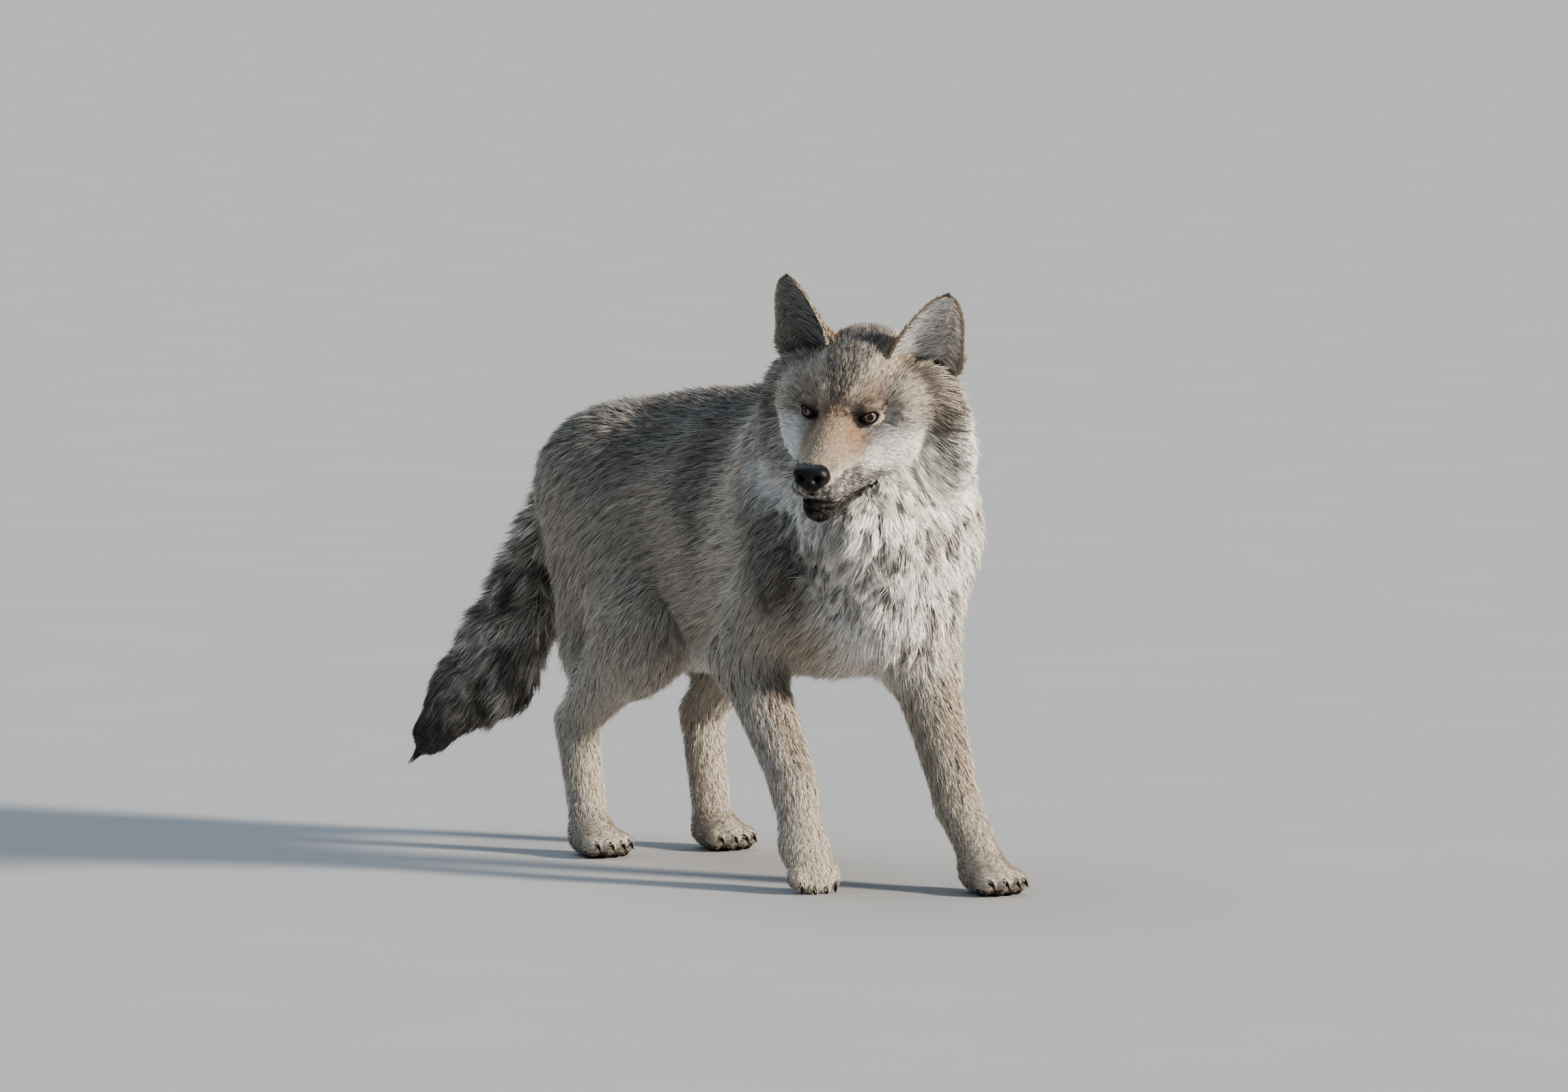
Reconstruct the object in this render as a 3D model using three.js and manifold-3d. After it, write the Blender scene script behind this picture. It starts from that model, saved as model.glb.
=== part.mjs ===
// A life-size grey wolf in its winter coat, standing in mid stride with its head turned to the right.
//
// The outline of the coat is one smooth field: muscle and fur masses, each an ellipsoid or a tapering
// rod between two joints, blended into each other. Each named part of the animal is the piece of that
// surface that lies inside its own region, with a thin cut to its neighbours. Ears, eyes and nose are
// bodies of their own, set against or into the head.
//
// Units are millimetres. +X is the way the wolf walks, +Y its left, +Z up. The floor is z = 0.

import * as THREE from "three";
import { mergeVertices } from "three/addons/utils/BufferGeometryUtils.js";
import Module from "manifold-3d";

const wasm = await Module();
wasm.setup();

// ---------------------------------------------------------------------------------------------------
// Driving dimensions

const CUT = 0.6; // width of the cuts between neighbouring parts

const SCAPULA = 150;
const HUMERUS = 175;
const RADIUS = 200;
const METACARPUS = 80;
const FEMUR = 226;
const TIBIA = 214;
const METATARSUS = 132;

const HEAD_AT = new THREE.Vector3(355, -163, 644); // the point midway between the eyes
const HEAD_YAW = -55; // degrees, to the wolf's right of the way it walks
const HEAD_PITCH = 17.5; // degrees, nose down
const HEAD_ROLL = -5; // degrees, left ear down

const EYE_RADIUS = 12.5;
const EYE_SPREAD = 39; // half the distance between the eyes
const EAR_LENGTH = 114;
const EAR_WIDTH = 104;
const EAR_SKIN = 8; // thickness of the ear with its short fur

// ---------------------------------------------------------------------------------------------------
// The field: negative inside the coat, positive outside, in millimetres near the surface

const at = (x, y, z) => new THREE.Vector3(x, y, z);
const radians = THREE.MathUtils.degToRad;

// An ellipsoid of the given half sizes, turned by a quaternion.
function ellipsoid(centre, halfSizes, turn = new THREE.Quaternion()) {
  const back = turn.clone().invert();
  const p = new THREE.Vector3();
  const q = new THREE.Vector3();
  return (point) => {
    p.copy(point).sub(centre).applyQuaternion(back).divide(halfSizes);
    const k0 = p.length();
    const k1 = q.copy(p).divide(halfSizes).length();
    return k1 < 1e-9 ? -Math.min(halfSizes.x, halfSizes.y, halfSizes.z) : (k0 * (k0 - 1)) / k1;
  };
}

// A rod with round ends that tapers from one joint to the next. flat narrows it from side to side.
function taper(from, to, startRadius, endRadius, flat = 1) {
  const axis = to.clone().sub(from);
  const length = axis.length();
  axis.normalize();
  const p = new THREE.Vector3();
  return (point) => {
    p.copy(point).sub(from);
    const along = THREE.MathUtils.clamp(p.dot(axis) / length, 0, 1);
    p.addScaledVector(axis, -along * length);
    p.y /= flat;
    const radius = THREE.MathUtils.lerp(startRadius, endRadius, along);
    return (p.length() - radius) * Math.min(1, flat);
  };
}

// A smooth union, in which two surfaces run into each other over the width of the blend.
function blend(a, b, width) {
  const near = Math.max(width - Math.abs(a - b), 0);
  return Math.min(a, b) - (near * near) / (4 * width);
}

const masses = []; // {shape, soft}: each mass and the width over which it runs into those before it
const hollows = []; // {shape, soft}: what is pressed into them
const add = (soft, shape) => masses.push({ shape, soft });
const press = (soft, shape) => hollows.push({ shape, soft });

function coat(point) {
  let d = 1e6;
  for (const { shape, soft } of masses) {
    d = blend(d, shape(point), soft);
  }
  for (const { shape, soft } of hollows) {
    d = -blend(-d, shape(point), soft);
  }
  return d;
}

// ---------------------------------------------------------------------------------------------------
// The pose: joints of the legs, from bone lengths and the angle of each bone to the vertical

// The next joint down a leg. lean is in degrees, forward of straight down.
const step = (joint, bone, lean, sideways = 0) =>
  at(
    joint.x + bone * Math.sin(radians(lean)),
    joint.y + sideways,
    joint.z - bone * Math.cos(radians(lean)),
  );

function foreleg(side, root, lean, out) {
  const scapula = at(root[0], side * root[1], root[2]);
  const shoulder = step(scapula, SCAPULA, lean.scapula, side * out.shoulder);
  const elbow = step(shoulder, HUMERUS, lean.humerus, side * out.elbow);
  const wrist = step(elbow, RADIUS, lean.radius, side * out.wrist);
  const knuckle = step(wrist, METACARPUS, lean.metacarpus, side * out.knuckle);
  return { side, top: scapula, mid: shoulder, bend: elbow, wrist, knuckle, pawPitch: lean.paw };
}

function hindleg(side, root, lean, out) {
  const hip = at(root[0], side * root[1], root[2]);
  const knee = step(hip, FEMUR, lean.femur, side * out.knee);
  const hock = step(knee, TIBIA, lean.tibia, side * out.hock);
  const knuckle = step(hock, METATARSUS, lean.metatarsus, side * out.knuckle);
  return { side, top: hip, mid: hip, bend: knee, wrist: hock, knuckle, pawPitch: lean.paw };
}

const legs = {
  // the left foreleg reaches forward and carries weight
  fore_left: foreleg(
    1,
    [166, 44, 588],
    { scapula: 38, humerus: -14, radius: 21, metacarpus: 38, paw: 0 },
    { shoulder: 8, elbow: 20, wrist: 8, knuckle: 0 },
  ),
  // the right foreleg is about to step, wrist bent, its toes still on the ground
  fore_right: foreleg(
    -1,
    [98, 60, 574],
    { scapula: 30, humerus: -38, radius: 34, metacarpus: 12, paw: 50 },
    { shoulder: 26, elbow: 20, wrist: 2, knuckle: -2 },
  ),
  hind_left: hindleg(
    1,
    [-322, 72, 510],
    { femur: 40, tibia: -45, metatarsus: 10, paw: 0 },
    { knee: 22, hock: -4, knuckle: 0 },
  ),
  hind_right: hindleg(
    -1,
    [-330, 72, 500],
    { femur: 37, tibia: -50, metatarsus: 12, paw: 0 },
    { knee: 30, hock: -4, knuckle: 0 },
  ),
};

// ---------------------------------------------------------------------------------------------------
// Trunk and neck

add(1, ellipsoid(at(95, -4, 466), at(232, 126, 184))); // rib cage with its long coat
add(90, ellipsoid(at(-130, 0, 454), at(225, 112, 198))); // loin and belly
add(80, ellipsoid(at(-320, -5, 503), at(172, 118, 114))); // croup
add(60, ellipsoid(at(90, 0, 592), at(160, 66, 76))); // withers
add(50, ellipsoid(at(238, -10, 440), at(96, 88, 140))); // breast
add(40, ellipsoid(at(110, 0, 354), at(160, 60, 74))); // brisket fringe

const NECK_BASE = at(190, -8, 540);
const NECK_TOP = at(272, -60, 606);
add(60, taper(NECK_BASE, NECK_TOP, 132, 98)); // neck and mane
add(50, taper(at(245, -28, 470), at(292, -82, 508), 104, 86)); // throat ruff
add(50, ellipsoid(at(232, 0, 556), at(112, 112, 108))); // mane on the outer side of the turned neck

// ---------------------------------------------------------------------------------------------------
// Legs

for (const leg of [legs.fore_left, legs.fore_right]) {
  add(46, taper(leg.top, leg.mid, 56, 60)); // shoulder blade
  add(40, taper(leg.mid, leg.bend, 60, 52)); // upper arm
  add(24, taper(leg.bend, leg.wrist, 49, 33, 0.9)); // forearm
  add(12, taper(leg.wrist, leg.knuckle, 31, 29)); // pastern
}
for (const leg of [legs.hind_left, legs.hind_right]) {
  add(60, taper(leg.top, leg.bend, 104, 68, 0.8)); // thigh
  const breech = leg.top.clone().lerp(leg.wrist, 0.35);
  add(40, taper(breech, leg.wrist.clone().lerp(leg.top, 0.3), 66, 42, 0.85)); // hair behind the thigh
  add(34, taper(leg.bend, leg.wrist, 66, 32, 0.85)); // second thigh
  add(30, ellipsoid(leg.bend.clone().add(at(-8, 2 * leg.side, -42)), at(50, 38, 50))); // knee's long hair
  add(12, taper(leg.wrist, leg.knuckle, 31, 27)); // hind pastern
}

// Feet: a heel mass and four toes, in a frame at the knuckle whose +X points to the toes.
const HEEL = at(46, 35, 27);
const TOE = at(21, 13, 16);
const TOES = [-1.5, -0.5, 0.5, 1.5]; // places of the toes across the foot, in toe spacings
const TOE_SPACING = 18;
const TOE_REACH = 56; // from the knuckle to the middle of the foremost toes
const SOLE = 24; // height of the knuckle frame over the floor when the foot is flat

for (const leg of Object.values(legs)) {
  const turn = new THREE.Quaternion().setFromAxisAngle(at(0, 1, 0), radians(leg.pawPitch));
  const origin = leg.knuckle.clone();
  if (leg.pawPitch === 0) origin.z = SOLE;
  const place = (x, y, z) => at(x, y, z).applyQuaternion(turn).add(origin);
  add(20, ellipsoid(place(18, 0, 0), HEEL, turn));
  leg.toes = TOES.map((n) => place(TOE_REACH - 5 * Math.abs(n) ** 1.6, n * TOE_SPACING, -6));
  for (const toe of leg.toes) {
    add(7, ellipsoid(toe, TOE, turn));
  }
  leg.pawMiddle = place(28, 0, 0);
  leg.pawTurn = turn;
}

// ---------------------------------------------------------------------------------------------------
// Tail: it hangs from the croup, a little to the right, and widens into a brush

const TAIL_PATH = new THREE.CatmullRomCurve3([
  at(-430, -8, 558),
  at(-488, -28, 464),
  at(-526, -62, 362),
  at(-586, -103, 240),
  at(-669, -136, 138),
]);
const TAIL_RODS = 6;
const tailRadius = (t) => 42 + 24 * Math.sin(Math.PI * (0.1 + 0.8 * t)) - 22 * t ** 4;
for (let i = 0; i < TAIL_RODS; i++) {
  const t = i / TAIL_RODS;
  const next = (i + 1) / TAIL_RODS;
  add(24, taper(TAIL_PATH.getPoint(t), TAIL_PATH.getPoint(next), tailRadius(t), tailRadius(next)));
}
add(30, taper(at(-500, -72, 316), at(-548, -92, 214), 44, 52)); // long hair under the brush

// ---------------------------------------------------------------------------------------------------
// Head, in its own frame: +X to the nose, +Y to the left ear, +Z to the crown, origin between the eyes

const headTurn = new THREE.Quaternion().setFromEuler(
  new THREE.Euler(radians(HEAD_ROLL), radians(HEAD_PITCH), radians(HEAD_YAW), "ZYX"),
);
const onHead = (x, y, z) => at(x, y, z).applyQuaternion(headTurn).add(HEAD_AT);
const headMass = (x, y, z, rx, ry, rz) => ellipsoid(onHead(x, y, z), at(rx, ry, rz), headTurn);
const SIDES = [1, -1];

add(24, headMass(-84, 0, 14, 84, 64, 62)); // skull
add(20, headMass(-36, 0, 12, 44, 50, 32)); // brow
add(24, headMass(-92, 0, -84, 70, 80, 54)); // throat
add(20, headMass(-120, 6, 42, 42, 56, 40)); // nape tuft
for (const s of SIDES) {
  add(20, headMass(-108, s * 78, -32, 50, 68, 80)); // cheek ruff
  add(24, headMass(-112, s * 92, -90, 46, 62, 62)); // its long lower hair
  add(18, headMass(-48, s * 42, -38, 46, 32, 40)); // cheek
  add(22, headMass(-64, s * 66, -6, 50, 38, 44)); // side of the face in front of the ruff
  add(20, taper(onHead(44, s * 20, -58), onHead(-48, s * 56, -50), 18, 36)); // from muzzle to cheekbone
  add(9, headMass(-13, s * 36, 14, 20, 18, 8)); // brow ridge
}
add(14, taper(onHead(0, 0, -38), onHead(94, 0, -54), 38, 25)); // muzzle
add(10, taper(onHead(-6, 0, -8), onHead(100, 0, -38), 21, 14)); // bridge of the nose
for (const s of SIDES) {
  add(10, taper(onHead(2, s * 29, -76), onHead(88, s * 18, -68), 21, 16)); // lip
}
add(10, taper(onHead(-36, 0, -98), onHead(79, 0, -97), 34, 22)); // lower jaw
for (const s of SIDES) {
  press(5, headMass(6, s * (EYE_SPREAD + 9), 0, 17, 17, 9)); // eye hollow
}

// ---------------------------------------------------------------------------------------------------
// From field to solid

// A closed triangle mesh as a manifold-3d solid.
function solid(geometry) {
  const bare = new THREE.BufferGeometry();
  bare.setAttribute("position", geometry.getAttribute("position"));
  bare.setIndex(geometry.getIndex());
  const merged = mergeVertices(bare, 1e-4);
  return new wasm.Manifold(
    new wasm.Mesh({
      numProp: 3,
      vertProperties: new Float32Array(merged.attributes.position.array),
      triVerts: new Uint32Array(merged.index.array),
    }),
  );
}

function geometryOf(body) {
  const { vertProperties, triVerts, numProp, numVert } = body.getMesh();
  const positions = new Float32Array(numVert * 3);
  for (let i = 0; i < numVert; i++) {
    positions.set(vertProperties.subarray(i * numProp, i * numProp + 3), i * 3);
  }
  const geometry = new THREE.BufferGeometry();
  geometry.setAttribute("position", new THREE.BufferAttribute(positions, 3));
  geometry.setIndex(new THREE.BufferAttribute(new Uint32Array(triVerts), 1));
  return geometry;
}

const CORNERS = [0, 1, 2, 3, 4, 5, 6, 7].map((n) => [n & 1, (n >> 1) & 1, n >> 2]);
const EDGES = [];
for (const a of CORNERS) {
  for (let n = 0; n < 3; n++) {
    if (a[n]) continue;
    const b = [...a];
    b[n] = 1;
    EDGES.push([a, b]);
  }
}

// The corner pairs that must not be alone inside, or alone outside, of a square or a cube: they would
// make two sheets of the surface touch along a line.
const OPPOSITE = [
  [0, 7, 1, 2, 3, 4, 5, 6],
  [1, 6, 0, 2, 3, 4, 5, 7],
  [2, 5, 0, 1, 3, 4, 6, 7],
  [3, 4, 0, 1, 2, 5, 6, 7],
];
const SQUARES = [
  [0, 3, 1, 2],
  [0, 5, 1, 4],
  [0, 6, 2, 4],
];

// Opens every such place by moving one of its inside corners to the outside.
function partSheets(values, nx, ny, nz, opened) {
  const offsets = CORNERS.map(([i, j, k]) => i + nx * (j + ny * k));
  const alone = (here, corners, inside) => {
    const [a, b, ...rest] = corners.map((c) => values[here + offsets[c]] < 0 === inside);
    return a && b && !rest.some((c) => c);
  };
  let changed = true;
  while (changed) {
    changed = false;
    for (let k = 0; k < nz - 1; k++) {
      for (let j = 0; j < ny - 1; j++) {
        for (let i = 0; i < nx - 1; i++) {
          const here = i + nx * (j + ny * k);
          for (const corners of [...SQUARES, ...OPPOSITE]) {
            const inPair = alone(here, corners, true);
            if (!inPair && !alone(here, corners, false)) continue;
            values[here + offsets[inPair ? corners[0] : corners[2]]] = opened;
            changed = true;
          }
        }
      }
    }
  }
}

// The coat's surface inside a box, grown outward by grow and closed at the walls of the box: one
// vertex in each cell that the surface crosses, and one face across each grid edge that it crosses.
function surfaceIn({ centre, halfSizes, turn }, cell, grow = 0) {
  const count = (half, size) => Math.ceil((2 * half) / size) + 1;
  const nx = count(halfSizes.x, cell.x);
  const ny = count(halfSizes.y, cell.y);
  const nz = count(halfSizes.z, cell.z);
  const size = halfSizes.clone().multiplyScalar(2).divide(at(nx - 1, ny - 1, nz - 1));
  const toWorld = (p) => p.multiply(size).sub(halfSizes).applyQuaternion(turn).add(centre);
  const index = (i, j, k) => i + nx * (j + ny * k);
  const values = new Float32Array(nx * ny * nz);
  const p = new THREE.Vector3();
  const outside = 0.3 * Math.min(size.x, size.y, size.z);
  for (let k = 0; k < nz; k++) {
    for (let j = 0; j < ny; j++) {
      for (let i = 0; i < nx; i++) {
        const wall = i === 0 || j === 0 || k === 0 || i === nx - 1 || j === ny - 1 || k === nz - 1;
        const value = coat(toWorld(p.set(i, j, k))) - grow;
        values[index(i, j, k)] = wall ? Math.max(value, outside) : value || 1e-6;
      }
    }
  }
  partSheets(values, nx, ny, nz, outside);
  const vertexOf = new Map();
  const positions = [];
  for (let k = 0; k < nz - 1; k++) {
    for (let j = 0; j < ny - 1; j++) {
      for (let i = 0; i < nx - 1; i++) {
        let found = 0;
        p.set(0, 0, 0);
        for (const [a, b] of EDGES) {
          const va = values[index(i + a[0], j + a[1], k + a[2])];
          const vb = values[index(i + b[0], j + b[1], k + b[2])];
          if (va < 0 === vb < 0) continue;
          const share = va / (va - vb);
          p.x += i + a[0] + share * (b[0] - a[0]);
          p.y += j + a[1] + share * (b[1] - a[1]);
          p.z += k + a[2] + share * (b[2] - a[2]);
          found++;
        }
        if (!found) continue;
        vertexOf.set(index(i, j, k), positions.length / 3);
        positions.push(...toWorld(p.divideScalar(found)).toArray());
      }
    }
  }
  const triangles = [];
  const strides = [1, nx, nx * ny];
  for (let k = 0; k < nz - 1; k++) {
    for (let j = 0; j < ny - 1; j++) {
      for (let i = 0; i < nx - 1; i++) {
        const here = index(i, j, k);
        for (let n = 0; n < 3; n++) {
          const inside = values[here] < 0;
          if (inside === values[here + strides[n]] < 0) continue;
          const u = strides[(n + 1) % 3];
          const v = strides[(n + 2) % 3];
          const ring = [here, here - u, here - u - v, here - v].map((c) => vertexOf.get(c));
          if (!inside) ring.reverse();
          triangles.push(ring[0], ring[1], ring[2], ring[0], ring[2], ring[3]);
        }
      }
    }
  }
  const geometry = new THREE.BufferGeometry();
  geometry.setAttribute("position", new THREE.Float32BufferAttribute(positions, 3));
  geometry.setIndex(triangles);
  return solid(geometry);
}

// ---------------------------------------------------------------------------------------------------
// Regions of the parts. Each is a box, as a solid and as the same solid grown by a cut.

function boxRegion(centre, halfSizes, turn = new THREE.Quaternion()) {
  const made = (grow) => {
    const size = halfSizes.clone().addScalar(grow).multiplyScalar(2);
    const geometry = new THREE.BoxGeometry(size.x, size.y, size.z);
    geometry.applyQuaternion(turn).translate(centre.x, centre.y, centre.z);
    return solid(geometry);
  };
  return { box: { centre, halfSizes, turn }, inner: made(0), outer: made(CUT) };
}

// The turn that takes +Z along a bone.
const bone = (from, to) =>
  new THREE.Quaternion().setFromUnitVectors(at(0, 0, 1), to.clone().sub(from).normalize());

// ---------------------------------------------------------------------------------------------------
// The parts

const wolf = new THREE.Group();
wolf.name = "wolf";
const taken = []; // grown regions of the parts already cut

const fur = (color) => new THREE.MeshStandardMaterial({ color, roughness: 0.95, metalness: 0 });

// Adds a solid as a named mesh, without the crumbs that a cut may leave.
function keep(name, body, material) {
  const pieces = body.decompose().sort((a, b) => b.volume() - a.volume());
  const mesh = new THREE.Mesh(geometryOf(pieces[0]), material);
  mesh.name = name;
  wolf.add(mesh);
}

// The coat's surface over a region and a little past it.
function surfaceOver(place, cell, grow = 0) {
  const halfSizes = place.box.halfSizes.clone().addScaledVector(cell, 2);
  return surfaceIn({ ...place.box, halfSizes }, cell, grow);
}

// The piece of the coat in a region, less all regions before it and whatever else is cut away.
function cutPart(name, place, cell, material, { without = [], extra = [] } = {}) {
  let body = surfaceOver(place, cell).intersect(place.inner);
  for (const other of extra) body = body.add(other);
  for (const other of taken) body = body.subtract(other);
  for (const other of without) body = body.subtract(other);
  taken.push(place.outer);
  keep(name, body, material);
}

// --- Paws: pads, toes and claws, from the knuckle to the claw tips

const CLAW_LENGTH = 15;
const CLAW_RADIUS = 3.2;
const PAW_CELL = at(17, 13, 15.5);
const FLOOR_BLOCK = solid(new THREE.BoxGeometry(3000, 3000, 200).translate(0, 0, -100));

function claw(toe, turn) {
  const geometry = new THREE.ConeGeometry(CLAW_RADIUS, CLAW_LENGTH, 4);
  geometry.rotateZ(-Math.PI / 2 - 0.25).translate(TOE.x + 1, 0, 1);
  return solid(geometry.applyQuaternion(turn).translate(toe.x, toe.y, toe.z));
}

for (const [name, leg] of Object.entries(legs)) {
  const reach = leg.pawPitch === 0 ? at(84, 60, 40) : at(84, 60, 36);
  const place = boxRegion(leg.pawMiddle, reach, leg.pawTurn);
  const claws = leg.toes.map((toe) => claw(toe, leg.pawTurn));
  cutPart(`paw_${name}`, place, PAW_CELL, fur(0xcfc4b4), { without: [FLOOR_BLOCK], extra: claws });
}

// --- Lower legs: forearm or second thigh with the pastern

for (const [name, leg] of Object.entries(legs)) {
  const hind = name.startsWith("hind");
  const from = leg.bend.clone().lerp(leg.wrist, 0.2);
  const to = leg.wrist.clone().lerp(leg.knuckle, hind ? 0.2 : 0.5);
  const centre = from.clone().add(leg.knuckle).divideScalar(2);
  const turn = bone(leg.bend, leg.wrist.clone().lerp(leg.knuckle, 0.5));
  const length = from.distanceTo(to) / 2;
  const place = boxRegion(centre, at(hind ? 96 : 78, 70, length + 50), turn);
  const part = hind ? "shank" : "forearm";
  const label = `${part}_${name.replace("hind_", "").replace("fore_", "")}`;
  cutPart(label, place, at(21, 21, 36), fur(0xc9bfb0), { without: [FLOOR_BLOCK] });
}

// --- Tail

const tailRegion = boxRegion(at(-600, -40, 330), at(160, 150, 320), bone(at(0, 0, 0), at(-0.42, 0, -1)));
cutPart("tail", tailRegion, at(32, 32, 42), fur(0x7d766d));

// --- Eyes: balls seated in the sockets of the skull

const eyeBlocks = [];
for (const side of SIDES) {
  const pupil = onHead(-9, side * EYE_SPREAD, 0);
  const ball = (radius) => {
    const geometry = new THREE.SphereGeometry(radius, 12, 7);
    geometry.rotateZ(-Math.PI / 2).applyQuaternion(headTurn);
    return solid(geometry.translate(pupil.x, pupil.y, pupil.z));
  };
  eyeBlocks.push(ball(EYE_RADIUS + 0.4));
  const material = new THREE.MeshStandardMaterial({ color: 0x9a6f3a, roughness: 0.08, metalness: 0 });
  keep(`eye_${side > 0 ? "left" : "right"}`, ball(EYE_RADIUS), material);
}

// --- Nose: the bare leather pad on the tip of the muzzle, with its two nostrils

const NOSE = at(17, 23, 20); // half sizes
const NOSE_AT = [107, 0, -46];

function nosePad(grow) {
  const part = (x, y, z, rx, ry, rz) => {
    const geometry = new THREE.SphereGeometry(1, 9, 6).scale(rx, ry, rz);
    geometry.translate(NOSE_AT[0] + x, NOSE_AT[1] + y, NOSE_AT[2] + z).applyQuaternion(headTurn);
    return solid(geometry.translate(HEAD_AT.x, HEAD_AT.y, HEAD_AT.z));
  };
  let pad = part(0, 0, 0, NOSE.x + grow, NOSE.y + grow, NOSE.z + grow);
  if (grow > 0) return pad;
  for (const side of SIDES) {
    pad = pad.subtract(part(14, side * 10, -2, 6, 4.4, 4.8));
  }
  return pad;
}
const leather = new THREE.MeshStandardMaterial({ color: 0x17151a, roughness: 0.38, metalness: 0 });
keep("nose", nosePad(0), leather);
const noseBlock = nosePad(0.4);

// --- Head: lower jaw, muzzle and skull

const onHeadBox = (x, y, z, rx, ry, rz) => boxRegion(onHead(x, y, z), at(rx, ry, rz), headTurn);
cutPart("lower_jaw", onHeadBox(68, 0, -119, 64, 44, 31), at(15, 14, 13), fur(0x8d8378), {
  without: [noseBlock],
});
cutPart("muzzle", onHeadBox(87, 0, -40, 57, 62, 75), at(14, 13, 13), fur(0xb09a80), {
  without: [noseBlock],
});
const HEAD_CELL = at(21, 20, 20);
const headPlace = onHeadBox(-30, 0, 16, 80, 170, 118);
cutPart("head", headPlace, HEAD_CELL, fur(0xa89c8e), {
  without: [...eyeBlocks, noseBlock],
});

// --- Neck and trunk

const neckTurn = bone(NECK_BASE, NECK_TOP);
const NECK_CELL = at(43, 43, 43);
const TRUNK_CELL = at(54, 43, 43);
const neckPlace = boxRegion(NECK_BASE.clone().lerp(NECK_TOP, 1.1), at(300, 300, 150), neckTurn);
cutPart("neck", neckPlace, NECK_CELL, fur(0xa39a8e));

const slab = (from, to) => boxRegion(at((from + to) / 2, 0, 450), at((to - from) / 2, 260, 330));
cutPart("hindquarters", slab(-520, -235), TRUNK_CELL, fur(0x9a9186));
cutPart("loin", slab(-235, -40), TRUNK_CELL, fur(0xa0978b));
cutPart("chest", slab(-40, 420), TRUNK_CELL, fur(0xb0a799));

// --- Ears: upright leaves, rounded at the tip and hollow in front, set on the back of the skull

const EAR_ROWS = 6;
const EAR_COLUMNS = 4;

// Half width of the ear at a share of its height.
const earHalf = (u) => (EAR_WIDTH / 2) * Math.sqrt(1 - u ** 2.6) * (1 - 0.34 * Math.max(u, 0));

function ear(foot, tip, facing) {
  const rise = tip.clone().sub(foot).normalize();
  const front = facing.clone().addScaledVector(rise, -facing.dot(rise)).normalize();
  const across = rise.clone().cross(front);
  const sheet = (inner) => {
    const rows = [];
    for (let r = 0; r <= EAR_ROWS; r++) {
      const u = -0.16 + (1.155 * r) / EAR_ROWS;
      const bow = THREE.MathUtils.lerp(1.25, 0.6, Math.max(u, 0)); // half angle of the arc
      const half = earHalf(Math.min(Math.abs(u), 0.995)) + 1.5;
      const radius = half / Math.sin(bow);
      const row = [];
      for (let c = 0; c <= EAR_COLUMNS; c++) {
        const v = (2 * c) / EAR_COLUMNS - 1;
        const skin = (inner ? -0.5 : 0.5) * EAR_SKIN * (1 - 0.45 * v * v) * (1 - 0.35 * Math.max(u, 0));
        const reach = radius + skin;
        const p = foot.clone().addScaledVector(rise, u * EAR_LENGTH);
        p.addScaledVector(across, reach * Math.sin(v * bow));
        p.addScaledVector(front, radius * Math.cos(bow) - reach * Math.cos(v * bow));
        row.push(p);
      }
      rows.push(row);
    }
    return rows;
  };
  const sheets = [sheet(false), sheet(true)];
  const width = EAR_COLUMNS + 1;
  const size = width * (EAR_ROWS + 1);
  const corner = (s, r, c) => s * size + r * width + c;
  const triangles = [];
  const quad = (a, b, c, d) => triangles.push(a, b, c, a, c, d);
  for (let r = 0; r < EAR_ROWS; r++) {
    for (let c = 0; c < EAR_COLUMNS; c++) {
      quad(corner(0, r, c), corner(0, r + 1, c), corner(0, r + 1, c + 1), corner(0, r, c + 1));
      quad(corner(1, r, c), corner(1, r, c + 1), corner(1, r + 1, c + 1), corner(1, r + 1, c));
    }
    const last = EAR_COLUMNS;
    quad(corner(0, r, 0), corner(1, r, 0), corner(1, r + 1, 0), corner(0, r + 1, 0));
    quad(corner(0, r, last), corner(0, r + 1, last), corner(1, r + 1, last), corner(1, r, last));
  }
  for (let c = 0; c < EAR_COLUMNS; c++) {
    const top = EAR_ROWS;
    quad(corner(0, 0, c), corner(0, 0, c + 1), corner(1, 0, c + 1), corner(1, 0, c));
    quad(corner(0, top, c), corner(1, top, c), corner(1, top, c + 1), corner(0, top, c + 1));
  }
  const points = sheets.flat(2).flatMap((p) => p.toArray());
  const geometry = new THREE.BufferGeometry();
  geometry.setAttribute("position", new THREE.Float32BufferAttribute(points, 3));
  geometry.setIndex(triangles);
  return solid(geometry);
}

const headSeat = surfaceOver(headPlace, HEAD_CELL, CUT);
const neckSeat = surfaceOver(neckPlace, NECK_CELL, CUT);
const EAR_POSE = {
  left: { foot: [-106, 80, 32], tip: [-102, 118, 135], facing: [0.84, 0.54, 0] },
  right: { foot: [-106, -74, 32], tip: [-102, -103, 143], facing: [0.9, -0.43, 0] },
};
for (const [side, pose] of Object.entries(EAR_POSE)) {
  const facing = at(...pose.facing).applyQuaternion(headTurn);
  const leaf = ear(onHead(...pose.foot), onHead(...pose.tip), facing);
  keep(`ear_${side}`, leaf.subtract(headSeat).subtract(neckSeat), fur(0x9c8a76));
}

// ---------------------------------------------------------------------------------------------------
// The origin is under the middle of the whole animal, on the floor.

const bounds = new THREE.Box3().setFromObject(wolf);
const middle = bounds.getCenter(at(0, 0, 0));
for (const mesh of wolf.children) {
  mesh.geometry.translate(-middle.x, -middle.y, -bounds.min.z);
}

export default wolf;
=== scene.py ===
"""A life-size grey wolf in its winter coat, standing in mid stride with its head turned to its right.

The animal is a skin with a coat of real tufts over it, and eyes, nose, claws, pads and whiskers of
their own. Lengths are in millimetres in the pose's own frame until a mesh is made: +X is the way the
wolf walks, +Y its left, +Z up, and the floor is z = 0.
"""

import math

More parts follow.
